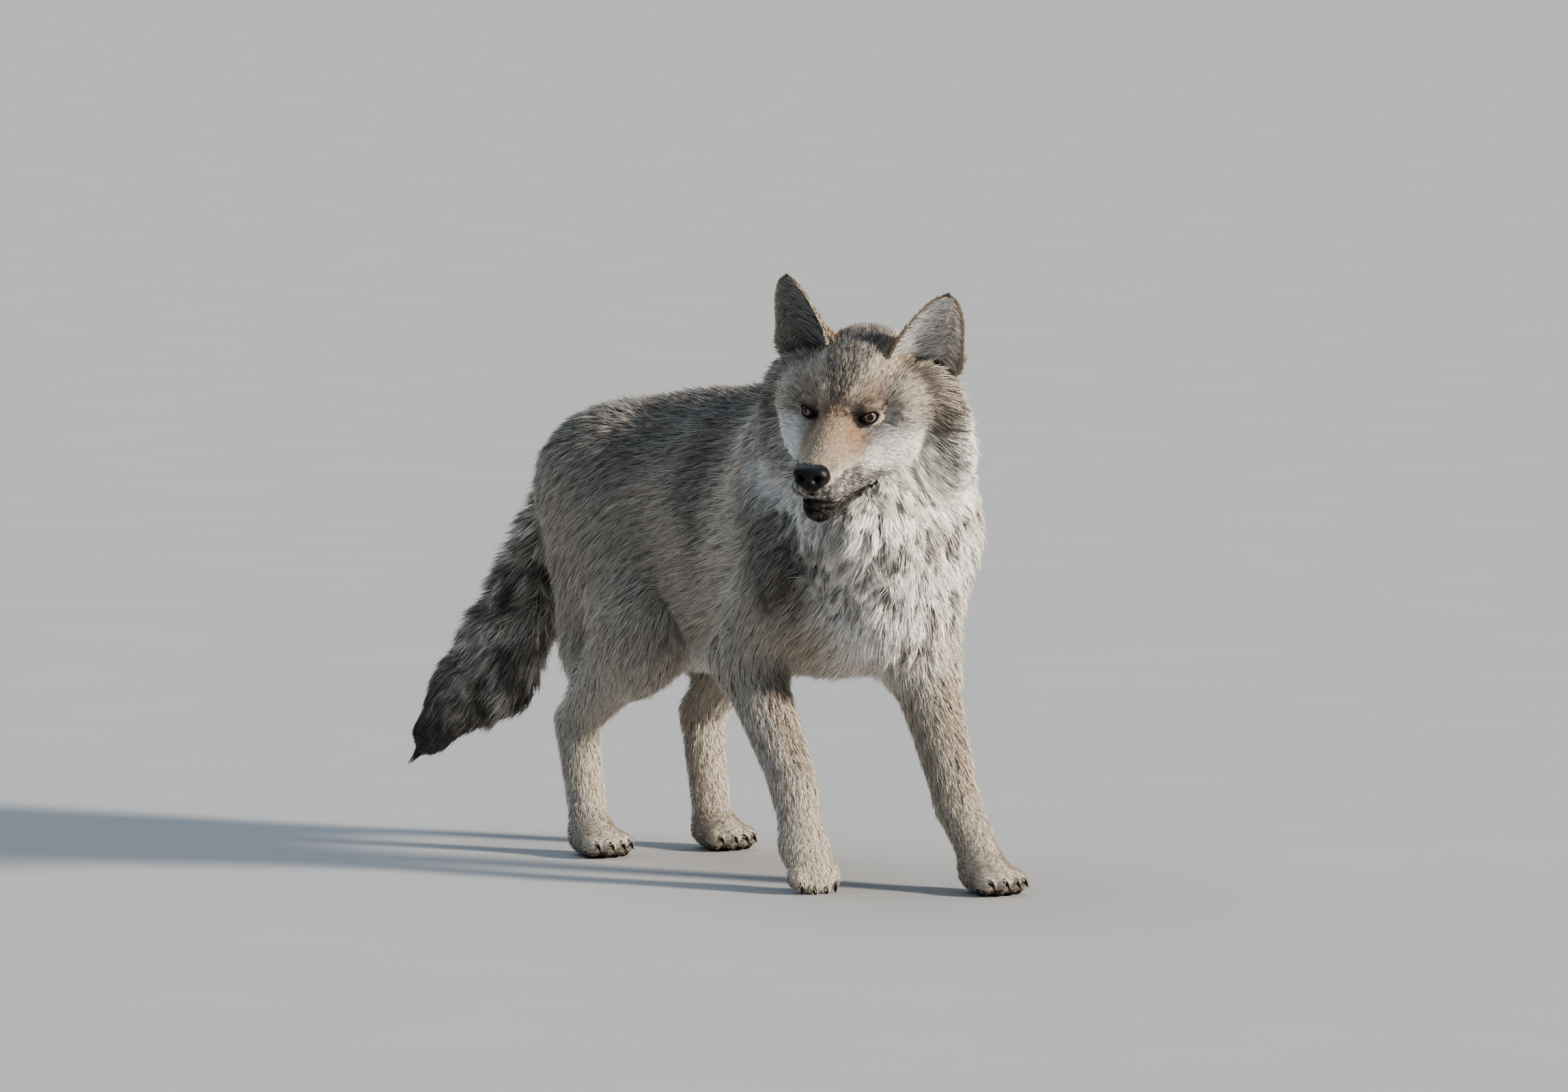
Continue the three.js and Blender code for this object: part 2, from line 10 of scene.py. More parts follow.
import bmesh
import bpy
import numpy as np
from mathutils import Euler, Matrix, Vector


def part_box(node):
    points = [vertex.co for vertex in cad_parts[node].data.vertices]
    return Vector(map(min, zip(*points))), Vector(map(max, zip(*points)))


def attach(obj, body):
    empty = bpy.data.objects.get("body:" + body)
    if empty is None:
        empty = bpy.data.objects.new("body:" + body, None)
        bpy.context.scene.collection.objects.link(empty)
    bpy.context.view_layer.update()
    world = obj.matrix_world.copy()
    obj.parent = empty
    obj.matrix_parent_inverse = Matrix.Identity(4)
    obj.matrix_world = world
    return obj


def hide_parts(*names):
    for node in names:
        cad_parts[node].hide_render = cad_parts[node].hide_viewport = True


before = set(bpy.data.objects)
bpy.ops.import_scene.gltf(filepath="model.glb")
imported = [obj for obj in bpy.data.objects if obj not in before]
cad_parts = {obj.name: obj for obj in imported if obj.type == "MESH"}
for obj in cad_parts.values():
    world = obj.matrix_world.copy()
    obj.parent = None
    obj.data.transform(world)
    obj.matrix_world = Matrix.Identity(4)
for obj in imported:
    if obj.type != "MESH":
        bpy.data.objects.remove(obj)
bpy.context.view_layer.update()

# --- Studio: camera, floor and lamps ---
# A long lens from the wolf's right front, low over the ground, a plain pale floor, and soft light:
# a warm key from the wolf's left as from a low sun, and weaker cool light from the other side.

CAMERA_TARGET = Vector((0.1276, 0.0513, 0.4420))
CAMERA_AZIMUTH = math.radians(35)
CAMERA_HEIGHT = math.radians(4.5)
CAMERA_DISTANCE = 12.0


def placed(name, data):
    """A new object of the scene."""
    made = bpy.data.objects.new(name, data)
    bpy.context.scene.collection.objects.link(made)
    return made


def aim(made, way):
    """Turns a camera or a lamp to look along way."""
    made.rotation_mode = "QUATERNION"
    made.rotation_quaternion = way.to_track_quat("-Z", "Y")


camera_data = bpy.data.cameras.new("camera")
camera_data.lens = 204.5
camera_data.sensor_width = 36.0
camera_data.clip_end = 200.0
camera = placed("camera", camera_data)
level = math.cos(CAMERA_HEIGHT)
back = Vector(
    (math.cos(CAMERA_AZIMUTH) * level, -math.sin(CAMERA_AZIMUTH) * level, math.sin(CAMERA_HEIGHT))
)
camera.location = CAMERA_TARGET + back * CAMERA_DISTANCE
aim(camera, -back)
bpy.context.scene.camera = camera


def soft_light(name, source, power, spread, colour, gloss=1.0):
    """Even light from a wide far source, which lies in the given direction."""
    data = bpy.data.lights.new(name, "SUN")
    data.angle = math.radians(spread)
    data.energy = power
    data.color = colour
    data.specular_factor = gloss
    light = placed(name, data)
    light.location = Vector(source) * 4
    aim(light, -Vector(source))


soft_light("key", (0.79, 0.48, 0.38), 6.2, 8, (1.0, 0.92, 0.82))
soft_light("fill", (0.55, -0.75, 0.55), 0.10, 60, (0.5, 0.75, 1.0), 0.0)
soft_light("top", (-0.45, -0.1, 1.0), 1.75, 70, (0.80, 0.89, 1.0), 0.0)

world = bpy.data.worlds.new("studio")
world.use_nodes = True
world.node_tree.nodes["Background"].inputs["Color"].default_value = (0.48, 0.71, 1.0, 1)
world.node_tree.nodes["Background"].inputs["Strength"].default_value = 0.24
bpy.context.scene.world = world
bpy.context.scene.view_settings.view_transform = "AgX"
bpy.context.scene.view_settings.look = "AgX - Medium High Contrast"


def set_up(made, **values):
    """Gives a node its settings and the values of its sockets."""
    for key, value in values.items():
        if hasattr(made, key):
            setattr(made, key, value)
        else:
            made.inputs[key.replace("_", " ")].default_value = value
    return made


def tools(tree):
    """Short ways to add a node to a tree and to join two nodes."""

    def node(kind, **values):
        return set_up(tree.nodes.new("ShaderNode" + kind), **values)

    def join(start, out, end, into):
        tree.links.new(start.outputs[out], end.inputs[into])

    return node, join


def new_material(name):
    """A material with its shader, and the tools for its nodes."""
    material = bpy.data.materials.new(name)
    material.use_nodes = True
    tree = material.node_tree
    return (material, tree.nodes["Principled BSDF"], *tools(tree))


def two_shades(node, dark, light):
    shades = node("ValToRGB")
    shades.color_ramp.elements[0].color = (*dark, 1)
    shades.color_ramp.elements[1].color = (*light, 1)
    return shades


def finished(name, shape):
    """The mesh of a shape that is ready."""
    mesh = bpy.data.meshes.new(name)
    shape.to_mesh(mesh)
    shape.free()
    return mesh


floor_shape = bmesh.new()
bmesh.ops.create_grid(floor_shape, x_segments=1, y_segments=1, size=100.0)
floor = placed("floor", finished("floor", floor_shape))
floor_material, shader, node, join = new_material("floor")
grain = node("TexNoise", Scale=3.0, Detail=4.0)
shades = two_shades(node, (0.38, 0.365, 0.35), (0.42, 0.405, 0.39))
join(node("TexCoord"), "Object", grain, "Vector")
join(grain, "Fac", shades, "Fac")
join(shades, "Color", shader, "Base Color")
set_up(shader, Roughness=0.9)
floor.data.materials.append(floor_material)

# --- The body's form ---
# The outline of the coat is one smooth field, negative inside: muscle and fur masses, each an
# ellipsoid or a tapering rod between two joints, run into each other. Each mass also says how the
# hair on it lies, how deep the coat is over the skin, and how long the hairs are.

HEAD_AT = np.array((355.0, -163.0, 644.0))  # the point midway between the eyes
HEAD_TURN = np.array(
    Euler((math.radians(-5), math.radians(17.5), math.radians(-55)), "XYZ").to_matrix()
)
SIDES = {1: "left", -1: "right"}


def on_head(x, y, z):
    """A place in the head's frame, +X to the nose, +Y to the left ear, +Z to the crown."""
    return HEAD_TURN @ np.array((x, y, z), float) + HEAD_AT


def to_head(p):
    return (p - HEAD_AT) @ HEAD_TURN


def dot(a, b):
    return np.einsum("ij,ij->i", a, b)


def unit(v):
    return v / np.maximum(np.linalg.norm(v, axis=-1, keepdims=True), 1e-9)


def ellipsoid(centre, half, turn=None):
    centre, half = np.array(centre, float), np.array(half, float)

    def shape(p):
        q = p - centre
        if turn is not None:
            q = q @ turn
        q = q / half
        far = np.sqrt(dot(q, q))
        q = q / half
        return far * (far - 1) / np.maximum(np.sqrt(dot(q, q)), 1e-9)

    return shape


def taper(start, end, first, last, flat=1.0):
    start, end = np.array(start, float), np.array(end, float)
    length = np.linalg.norm(end - start)
    axis = (end - start) / length

    def shape(p):
        q = p - start
        along = np.clip(q @ axis / length, 0, 1)
        q = q - along[:, None] * (length * axis)
        if flat != 1.0:
            q = q * (1, 1 / flat, 1)
        return (np.sqrt(dot(q, q)) - (first + along * (last - first))) * min(1, flat)

    return shape


PARTS = ("face", "head", "neck", "chest", "loin", "rump", "legs", "tail")
masses = []
hollows = []


def add(part, soft, shape, lie, depth, length):
    """soft is how far the mass runs into those before it; lie needn't be of unit length."""
    masses.append((PARTS.index(part), soft, shape, unit(np.array(lie, float)), depth, length))


add("chest", 1, ellipsoid((95, -4, 466), (232, 126, 184)), (-1, 0, -0.35), 20, 40)
add("loin", 90, ellipsoid((-130, 0, 454), (225, 112, 198)), (-1, 0, -0.45), 20, 38)
add("rump", 80, ellipsoid((-320, -5, 503), (172, 118, 114)), (-0.8, 0, -0.6), 20, 38)
add("chest", 60, ellipsoid((90, 0, 592), (160, 66, 76)), (-1, 0, -0.25), 24, 46)
add("chest", 50, ellipsoid((238, -10, 440), (96, 88, 140)), (-0.25, 0, -1), 26, 52)
add("chest", 40, ellipsoid((110, 0, 354), (160, 60, 74)), (-0.3, 0, -1), 24, 54)

NECK_BASE = np.array((190.0, -8.0, 540.0))
NECK_TOP = np.array((272.0, -60.0, 606.0))
add("neck", 60, taper(NECK_BASE, NECK_TOP, 132, 98), (-0.75, 0.15, -0.7), 32, 50)
add("neck", 50, taper((245, -28, 470), (292, -82, 508), 104, 86), (-0.15, 0.05, -1), 28, 44)
add("neck", 50, ellipsoid((232, 0, 556), (112, 112, 108)), (-0.6, 0.2, -0.8), 30, 48)

# Joints from the trunk down to the knuckle, of the left leg and then of the right.
FORELEGS = (
    ((166, 44, 588), (258, 52, 470), (216, 72, 300), (288, 80, 113), (337, 80, 50)),
    ((98, -60, 574), (173, -86, 444), (65, -106, 306), (177, -108, 140), (194, -106, 62)),
)
HINDLEGS = (
    ((-322, 72, 510), (-177, 94, 337), (-328, 90, 186), (-305, 90, 56)),
    ((-330, -72, 500), (-194, -102, 320), (-358, -98, 182), (-330, -98, 53)),
)
PAW_PITCH = (0, 50, 0, 0)  # the right forefoot is on its toes
for leg in FORELEGS:
    blade, shoulder, elbow, wrist, knuckle = [np.array(joint, float) for joint in leg]
    add("chest", 46, taper(blade, shoulder, 56, 60), (-0.5, 0, -0.9), 17, 40)
    add("chest", 40, taper(shoulder, elbow, 60, 52), (-0.4, 0, -1), 13, 30)
    add("legs", 24, taper(elbow, wrist, 49, 33, 0.9), wrist - elbow, 8.5, 23)
    add("legs", 12, taper(wrist, knuckle, 31, 29), knuckle - wrist, 5, 11)
for leg in HINDLEGS:
    hip, knee, hock, knuckle = [np.array(joint, float) for joint in leg]
    add("rump", 60, taper(hip, knee, 104, 68, 0.8), (-0.55, 0, -0.85), 16, 34)
    breech = hip + 0.35 * (hock - hip)
    add("rump", 40, taper(breech, hock + 0.3 * (hip - hock), 66, 42, 0.85), (-0.3, 0, -1), 18, 38)
    add("legs", 34, taper(knee, hock, 66, 32, 0.85), (-0.45, 0, -1), 11, 26)
    hang = knee + (-8, 2 * np.sign(knee[1]), -42)
    add("rump", 30, ellipsoid(hang, (50, 38, 50)), (-0.6, 0, -1), 13, 32)
    add("legs", 12, taper(hock, knuckle, 31, 27), knuckle - hock, 5, 12)

# Feet: a heel mass and four toes, in a frame at the knuckle whose +X points to the toes.
SOLE = 24.0  # height of the knuckle frame over the floor when the foot is flat
TOE_REACH, TOE_SPACING = 56.0, 18.0
feet = []
for leg, pitch in zip((*FORELEGS, *HINDLEGS), PAW_PITCH):
    turn = np.array(Euler((0, math.radians(pitch), 0)).to_matrix())
    origin = np.array(leg[-1], float)
    if not pitch:
        origin[2] = SOLE
    toes = [(TOE_REACH - 5 * abs(n) ** 1.6, n * TOE_SPACING, -6) for n in (-1.5, -0.5, 0.5, 1.5)]
    feet.append((origin, turn, toes))
    heel = ellipsoid(turn @ (18, 0, 0) + origin, (46, 35, 27), turn)
    add("legs", 20, heel, turn @ (1, 0, -0.2), 4, 9)
    for toe in toes:
        mass = ellipsoid(turn @ toe + origin, (21, 13, 16), turn)
        add("legs", 7, mass, turn @ (1, 0, -0.3), 3, 6.5)

TAIL_ROOT, TAIL_BRUSH, TAIL_TIP = (-430, -8, 558), (-526, -62, 362), (-669, -136, 138)
TAIL_KNOTS = [TAIL_ROOT, (-488, -28, 464), TAIL_BRUSH, (-586, -103, 240), TAIL_TIP]


def tail_point(t):
    """The tail's middle line: a curve through its knots, spaced by the root of their distances."""
    knots = [np.array(k, float) for k in TAIL_KNOTS]
    knots = [2 * knots[0] - knots[1], *knots, 2 * knots[-1] - knots[-2]]
    at = min(int(t * 4), 3)
    w = t * 4 - at
    a, b, c, d = knots[at : at + 4]
    steps = [max(np.linalg.norm(q - p) ** 0.5, 1e-4) for p, q in ((a, b), (b, c), (c, d))]
    go = ((b - a) / steps[0] - (c - a) / (steps[0] + steps[1]) + (c - b) / steps[1]) * steps[1]
    come = ((c - b) / steps[1] - (d - b) / (steps[1] + steps[2]) + (d - c) / steps[2]) * steps[1]
    return b + w * go + w * w * (3 * (c - b) - 2 * go - come) + w**3 * (2 * (b - c) + go + come)


def tail_radius(t):
    return 42 + 24 * math.sin(math.pi * (0.1 + 0.8 * t)) - 22 * t**4


TAIL_RODS = 6
for step in range(TAIL_RODS):
    t, after = step / TAIL_RODS, (step + 1) / TAIL_RODS
    (start, first), (end, last) = [(tail_point(at), tail_radius(at)) for at in (t, after)]
    add("tail", 24, taper(start, end, first, last), end - start, last - 17, 60 - 38 * t**3)
add("tail", 30, taper((-500, -72, 316), (-548, -92, 214), 44, 52), (-0.4, -0.3, -1), 34, 58)


def add_head(part, soft, place, half, lie, depth, length):
    mass = ellipsoid(on_head(*place), half, HEAD_TURN)
    add(part, soft, mass, HEAD_TURN @ lie, depth, length)


def add_rod(part, soft, start, end, first, last, lie, depth, length):
    mass = taper(on_head(*start), on_head(*end), first, last)
    add(part, soft, mass, HEAD_TURN @ lie, depth, length)


EYE_AT = (-9, 39, 0)
EYE_RADIUS = 12.5
add_head("head", 24, (-84, 0, 14), (84, 64, 62), (-1, 0, 0.35), 9, 17)  # skull
add_head("head", 20, (-36, 0, 12), (44, 50, 32), (-0.9, 0, 0.6), 5, 10)  # brow
add_head("head", 24, (-92, 0, -84), (70, 80, 54), (-0.6, 0, -0.8), 20, 38)  # throat
add_head("head", 20, (-120, 6, 42), (42, 56, 40), (-0.9, 0, 0.35), 16, 30)  # nape tuft
for s in SIDES:
    ruff = (-108, s * 78, -32)
    add_head("head", 20, ruff, (50, 68, 80), (-0.7, s * 0.5, -0.55), 22, 44)
    add_head("head", 24, (-112, s * 92, -90), (46, 62, 62), (-0.55, s * 0.45, -0.7), 22, 44)
    add_head("head", 18, (-48, s * 42, -38), (46, 32, 40), (-0.9, s * 0.35, -0.3), 8, 17)
    add_head("head", 22, (-64, s * 66, -6), (50, 38, 44), (-0.85, s * 0.45, -0.15), 8, 18)
    jaw = ((44, s * 20, -58), (-48, s * 56, -50))
    add_rod("face", 20, *jaw, 18, 36, (-0.85, s * 0.5, -0.2), 5, 10)
    add_head("face", 9, (-13, s * 36, 14), (20, 18, 8), (-0.8, s * 0.5, 0.3), 3, 6)
add_rod("face", 14, (0, 0, -38), (94, 0, -54), 38, 25, (-1, 0, -0.05), 3, 6)
add_rod("face", 10, (-6, 0, -8), (100, 0, -38), 21, 14, (-1, 0, 0.15), 2.5, 5)
for s in SIDES:
    lip = ((2, s * 29, -76), (88, s * 18, -68))
    add_rod("face", 10, *lip, 21, 16, (-0.9, s * 0.25, -0.4), 3, 6)
add_rod("face", 10, (-36, 0, -98), (79, 0, -97), 34, 22, (-1, 0, -0.25), 4, 8)
for s in SIDES:
    hollows.append((5, ellipsoid(on_head(6, s * 48, 0), (17, 17, 9), HEAD_TURN)))


def blend(a, b, width):
    """A smooth union, in which two surfaces run into each other over the width."""
    near = np.maximum(width - np.abs(a - b), 0)
    return np.minimum(a, b) - near * near / (4 * width)


CHUNK = 20000


def in_chunks(function):
    """Runs a function of many points on a few thousand at a time."""

    def whole(p, *more):
        parts = [function(p[i : i + CHUNK], *more) for i in range(0, len(p), CHUNK)]
        if isinstance(parts[0], tuple):
            return tuple(np.concatenate(column) for column in zip(*parts))
        return np.concatenate(parts)

    return whole


@in_chunks
def coat_level(p):
    level = np.full(len(p), 1e6)
    for _, soft, shape, *_ in masses:
        level = blend(level, shape(p), soft)
    for soft, shape in hollows:
        level = -blend(-level, shape(p), soft)
    return level


def over(value, start, end):
    """Goes smoothly from 0 at start to 1 at end."""
    t = np.clip((value - start) / (end - start), 0, 1)
    return t * t * (3 - 2 * t)


def spot(p, centre, half, hard=1.0):
    """1 in the middle of an ellipsoid, falling softly to 0 a little outside it."""
    q = (p - np.array(centre, float)) / np.array(half, float)
    return over(-np.sqrt(dot(q, q)), -1 - 0.45 / hard, -1 + 0.45 / hard)


MELD = (8, 10, 15, 15, 15, 15, 11, 15)  # how far the hair of each part runs into the next
BIB_ACROSS = np.array((0.45, 0.89, 0.0))  # the hair of the bib fans out to both sides of its middle
LIP_DEPTH, LIP_HAIR = 3, 7  # the coat beside the line of the mouth
mouth_line = []  # rods along the line of the lips, beside which the coat is thin and short


def off_lips(p):
    """How far points are from the rods along the line of the lips."""
    return np.min([shape(p) for shape in mouth_line], 0)


@in_chunks
def coat_facts(p):
    """The way the hair lies, the coat's depth, the hair's length and the part, at each point."""
    total = np.zeros(len(p))
    lie, depth, length = np.zeros((len(p), 3)), np.zeros(len(p)), np.zeros(len(p))
    shares = np.zeros((len(p), len(PARTS)))
    for part, _, shape, way, deep, long in masses:
        share = np.exp(np.clip(-shape(p) / MELD[part], -60, 30))
        total += share
        lie += share[:, None] * way
        depth += share * deep
        length += share * long
        shares[:, part] += share
    total = np.maximum(total, 1e-30)
    lie = lie / total[:, None]
    fan = spot(p, (290, -40, 440), (170, 190, 200), 0.6)
    aside = np.clip((p - (300, -60, 440)) @ BIB_ACROSS / 110, -1, 1)
    lie = lie + (0.6 * fan * aside)[:, None] * BIB_ACROSS
    depth, length = depth / total, length / total
    if mouth_line:
        beside = over(off_lips(p), 15, 5)
        depth = depth + (LIP_DEPTH - depth) * beside
        length = length + (np.minimum(length, LIP_HAIR) - length) * beside
    return lie, depth, length, shares.argmax(1)


def slope(field, p):
    """A field's value at each point, and how fast it rises there along each axis."""
    base = field(p)
    return base, np.stack([field(p + 0.5 * axis) - base for axis in np.eye(3)], 1) / 0.5


@in_chunks
def level_and_normal(p):
    return slope(coat_level, p)


def settle(p, wanted, rounds=1, reach=14.0):
    """Moves points straight out or in until the coat's field has the wanted value at them."""
    for _ in range(rounds):
        base, gradient = level_and_normal(p)
        steep = np.maximum(dot(gradient, gradient), 0.09)
        move = np.clip((wanted - base) / np.sqrt(steep), -reach, reach)
        p = p + gradient * (move / np.sqrt(steep))[:, None]
    return p


eye_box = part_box("eye_left")
ORIGIN = np.array((eye_box[0] + eye_box[1]) / 2) * 1000 - on_head(*EYE_AT)  # of the pose in the frame
ORIGIN[2] = 0.0


def metres(p):
    return (p + ORIGIN) / 1000


# --- Skin ---
# One hide over the whole body, legs, tail and head. It starts from the solids of the flesh, joined
# into one sheet, and is then drawn in from the coat's outline by the depth of the coat at each place,
# finest on the face. It carries the coat's markings, so that no bare skin shows between the tufts.

FLESH = [
    *(f"paw_{end}_{side}" for end in ("fore", "hind") for side in ("left", "right")),
    *(f"{limb}_{side}" for limb in ("forearm", "shank") for side in ("left", "right")),
    *("tail", "lower_jaw", "muzzle", "head", "neck", "hindquarters", "loin", "chest"),
]
BODY_CELL = 0.0075
SOLE_LIFT = 3.0  # the skin of the foot ends this far over the floor, above the pads

MOUTH = (
    *((106, 1, -78), (98, 20, -81), (76, 28, -88), (48, 30, -95)),
    *((22, 34, -98), (4, 40, -97), (-6, 45, -92)),
)


def eye_frame(s):
    """The middle of an eye, and its ways outward, to the outer corner and up."""
    out = HEAD_TURN @ unit(np.array((0.84, s * 0.52, 0.08)))
    outer = s * unit(np.cross(HEAD_TURN[:, 2], out))
    return on_head(EYE_AT[0], s * EYE_AT[1], EYE_AT[2]), out, outer, s * np.cross(out, outer)


# What only the skin has: the sockets of the eyes and the slit of the mouth.
SOCKET = 15.5
MOUTH_SLIT = 2.4
sockets = [ellipsoid(eye_frame(s)[0], (SOCKET, SOCKET, SOCKET)) for s in SIDES]
for s in SIDES:
    places = settle(np.array([on_head(x, s * y, z) for x, y, z in MOUTH]), -4.0, 6)
    mouth_line += [taper(a, b, MOUTH_SLIT, MOUTH_SLIT) for a, b in zip(places, places[1:])]


def skin_level(p, depth, open_sockets=True):
    level = coat_level(p) + depth
    for shape in (*(sockets if open_sockets else ()), *mouth_line):
        level = -blend(-level, shape(p), 1.5)
    return np.maximum(level, SOLE_LIFT - p[:, 2])


def draw_in(p, rounds, open_sockets=True, wanted=0.0):
    """Moves the skin's points onto the skin's own surface."""
    for _ in range(rounds):
        depth = coat_facts(p)[1] - wanted
        base, gradient = slope(lambda q: skin_level(q, depth, open_sockets), p)
        steep = np.maximum(dot(gradient, gradient), 0.09)
        p = p - gradient * (np.clip(base / np.sqrt(steep), -12, 12) / np.sqrt(steep))[:, None]
    return p


def points_of(mesh):
    flat = np.zeros(len(mesh.vertices) * 3)
    mesh.vertices.foreach_get("co", flat)
    return flat.reshape(-1, 3)


def set_points(mesh, p):
    mesh.vertices.foreach_set("co", p.astype(np.float32).ravel())
    mesh.update()


def piece(name, mesh, material, slot, *replaced, smooth=True):
    """An object of the wolf that rides on its one body."""
    mesh.polygons.foreach_set("use_smooth", np.full(len(mesh.polygons), smooth))
    mesh.materials.append(material)
    made = placed(name, mesh)
    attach(made, "root")
    if replaced:
        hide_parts(*replaced)


gathered = bmesh.new()
for name in FLESH:
    gathered.from_mesh(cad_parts[name].data)
rough = placed("rough", finished("rough", gathered))
remesh = rough.modifiers.new("remesh", "REMESH")
remesh.mode = "VOXEL"
remesh.voxel_size = BODY_CELL
skin_mesh = bpy.data.meshes.new_from_object(
    rough.evaluated_get(bpy.context.evaluated_depsgraph_get())
)
bpy.data.objects.remove(rough)


def posed(mesh):
    """The points of a mesh in the pose's own frame."""
    return points_of(mesh) * 1000 - ORIGIN


def change_skin(change):
    shape = bmesh.new()
    shape.from_mesh(skin_mesh)
    change(shape)
    shape.to_mesh(skin_mesh)
    shape.free()


def refine(back, low, wide):
    """Halves the cells of the head's skin ahead of back, above low and nearer its middle than wide."""
    h = to_head(posed(skin_mesh))
    inside = (h[:, 0] > back) & (h[:, 2] > low) & (np.abs(h[:, 1]) < wide)

    def halve(shape):
        edges = [e for e in shape.edges if inside[e.verts[0].index] and inside[e.verts[1].index]]
        bmesh.ops.subdivide_edges(shape, edges=edges, cuts=1, use_grid_fill=True)

    change_skin(halve)


def smooth(shape):
    axes = {f"use_axis_{axis}": True for axis in "xyz"}
    bmesh.ops.smooth_vert(shape, verts=shape.verts, factor=0.5, **axes)


def redraw(rounds):
    set_points(skin_mesh, metres(draw_in(posed(skin_mesh), rounds)))


redraw(4)
change_skin(smooth)
change_skin(smooth)
redraw(2)
refine(-95, -130, 110)
redraw(2)
refine(-28, -112, 70)
change_skin(smooth)
redraw(3)

# Lids: rings round the opening of each eye, from the wet edge on the ball out under the hair.
LID_STEPS = 72
LID_REACH = 14.6  # how far out from the ball's middle the outer rings start
EYE_HALF, EYE_UP, EYE_DOWN = 12.0, 5.2, 6.8  # of the opening
EYE_SLANT = 0.1  # rise of the outer corner
RIM_HALF, RIM_HIGH = 14.2, 8.8  # of the bare rim round it
LID_RINGS = (  # how much wider than the opening, and how far from the ball's middle or on the skin
    *((-0.2, 12.2), (0.0, 12.9), (0.6, 13.7), (1.7, 14.1), (3.4, 14.3)),
    *((6.0, None), (9.0, None)),
)


def opening(t, wider=0.0):
    """The edge of the open eye, in mm to the outer corner and up."""
    along = EYE_HALF * math.cos(t)
    high = EYE_UP if math.sin(t) > 0 else -EYE_DOWN
    up = high * abs(math.sin(t)) ** 1.3 + EYE_SLANT * along
    inner = max(0, -math.cos(t))
    along -= 2.2 * inner**6
    up -= 1.3 * inner**4
    return along * (1 + wider / 11), up * (1 + wider / 7)


def lid_rings(s):
    middle, out, outer, up = eye_frame(s)
    rings = []
    for wider, radius in LID_RINGS:
        ring, size = [], radius or LID_REACH
        for step in range(LID_STEPS):
            a, b = opening(math.tau * step / LID_STEPS, wider)
            far = math.hypot(a, b)
            turn = min(far / size, 1.5)
            aside = math.sin(turn) * (a * outer + b * up) / far
            ring.append(middle + size * (aside + math.cos(turn) * out))
        ring = np.array(ring)
        if radius is None:
            ring = draw_in(ring, 4, False, 0.4 if wider < 8 else -1.5)
        rings.append(ring)
    return rings


def add_lids(shape):
    for s in SIDES:
        rings = [[shape.verts.new(metres(p)) for p in ring] for ring in lid_rings(s)]
        for near, far in zip(rings, rings[1:]):
            for step in range(LID_STEPS):
                after = (step + 1) % LID_STEPS
                corners = (near[step], near[after], far[after], far[step])
                shape.faces.new(corners if s < 0 else corners[::-1])


change_skin(add_lids)
skin_points = posed(skin_mesh)
print("skin", len(skin_points), "points", len(skin_mesh.polygons), "faces")


def off_eye(p, s):
    return np.linalg.norm(p - eye_frame(s)[0], axis=1)


def under_mouth(h):
    """How far points of the head are below the line of the mouth, and from its corner forward."""
    x, y, z = np.array(MOUTH[::-1]).T
    return np.interp(h[:, 0], x, z) - h[:, 2], np.clip((h[:, 0] + 6) / 114, 0, 1)


def bare(p):
    """1 on the black skin where no hair grows: the rims of the lids, the lips and under the nose."""
    found = np.zeros(len(p))
    for s in SIDES:
        middle, out, outer, up = eye_frame(s)
        q = p - middle
        front = q @ out > 0
        a, b = q @ outer, q @ up
        b = b - EYE_SLANT * a
        rim = np.sqrt((a / RIM_HALF) ** 2 + ((b + 0.8) / RIM_HIGH) ** 2)
        corners = np.hypot((np.abs(a + 0.5) - 13.5) / 7.0, (b + 0.06 * a) / 2.6)
        near = np.linalg.norm(q, axis=1) < 23
        found = np.maximum(found, near * front * over(np.minimum(rim, corners), 1.06, 0.94))
    fold = over(to_head(p)[:, 0], 60, 10)
    found = np.maximum(found, over(off_lips(p), 3.2 + 3.6 * fold, 1.4 + 3.0 * fold))
    return np.maximum(found, spot(to_head(p), (112, 0, -66), (10, 5, 12), 2))


# Markings: a colour for the foot of the hair, and the share of hairs with dark tips.


def paint(code):
    """A screen colour such as b5a796 as linear light."""
    part = np.array([int(code[i : i + 2], 16) for i in (0, 2, 4)]) / 255
    return np.where(part <= 0.04045, part / 12.92, ((part + 0.055) / 1.055) ** 2.4)


def mix(first, second, share):
    return first + (second - first) * share[:, None]


def mottle(p, size, seed):
    """A smooth random pattern, mostly between -1 and 1, with patches of about the given size."""
    random = np.random.default_rng(seed)
    total = np.zeros(len(p))
    for wave in range(7):
        way = unit(random.normal(size=3))
        total += np.sin(p @ way * (math.tau / size) * random.uniform(0.6, 1.5) + wave * 2.1)
    return total / 2.6


CREAM, WHITE, BUFF = paint("d2c8b9"), paint("efebe4"), paint("bdb1a2")
GREY, SADDLE, BLACK = paint("a0988e"), paint("8b8379"), paint("231e1c")
TAN, RUST, DARK_TIP = paint("b39c86"), paint("ab8465"), paint("2e2826")


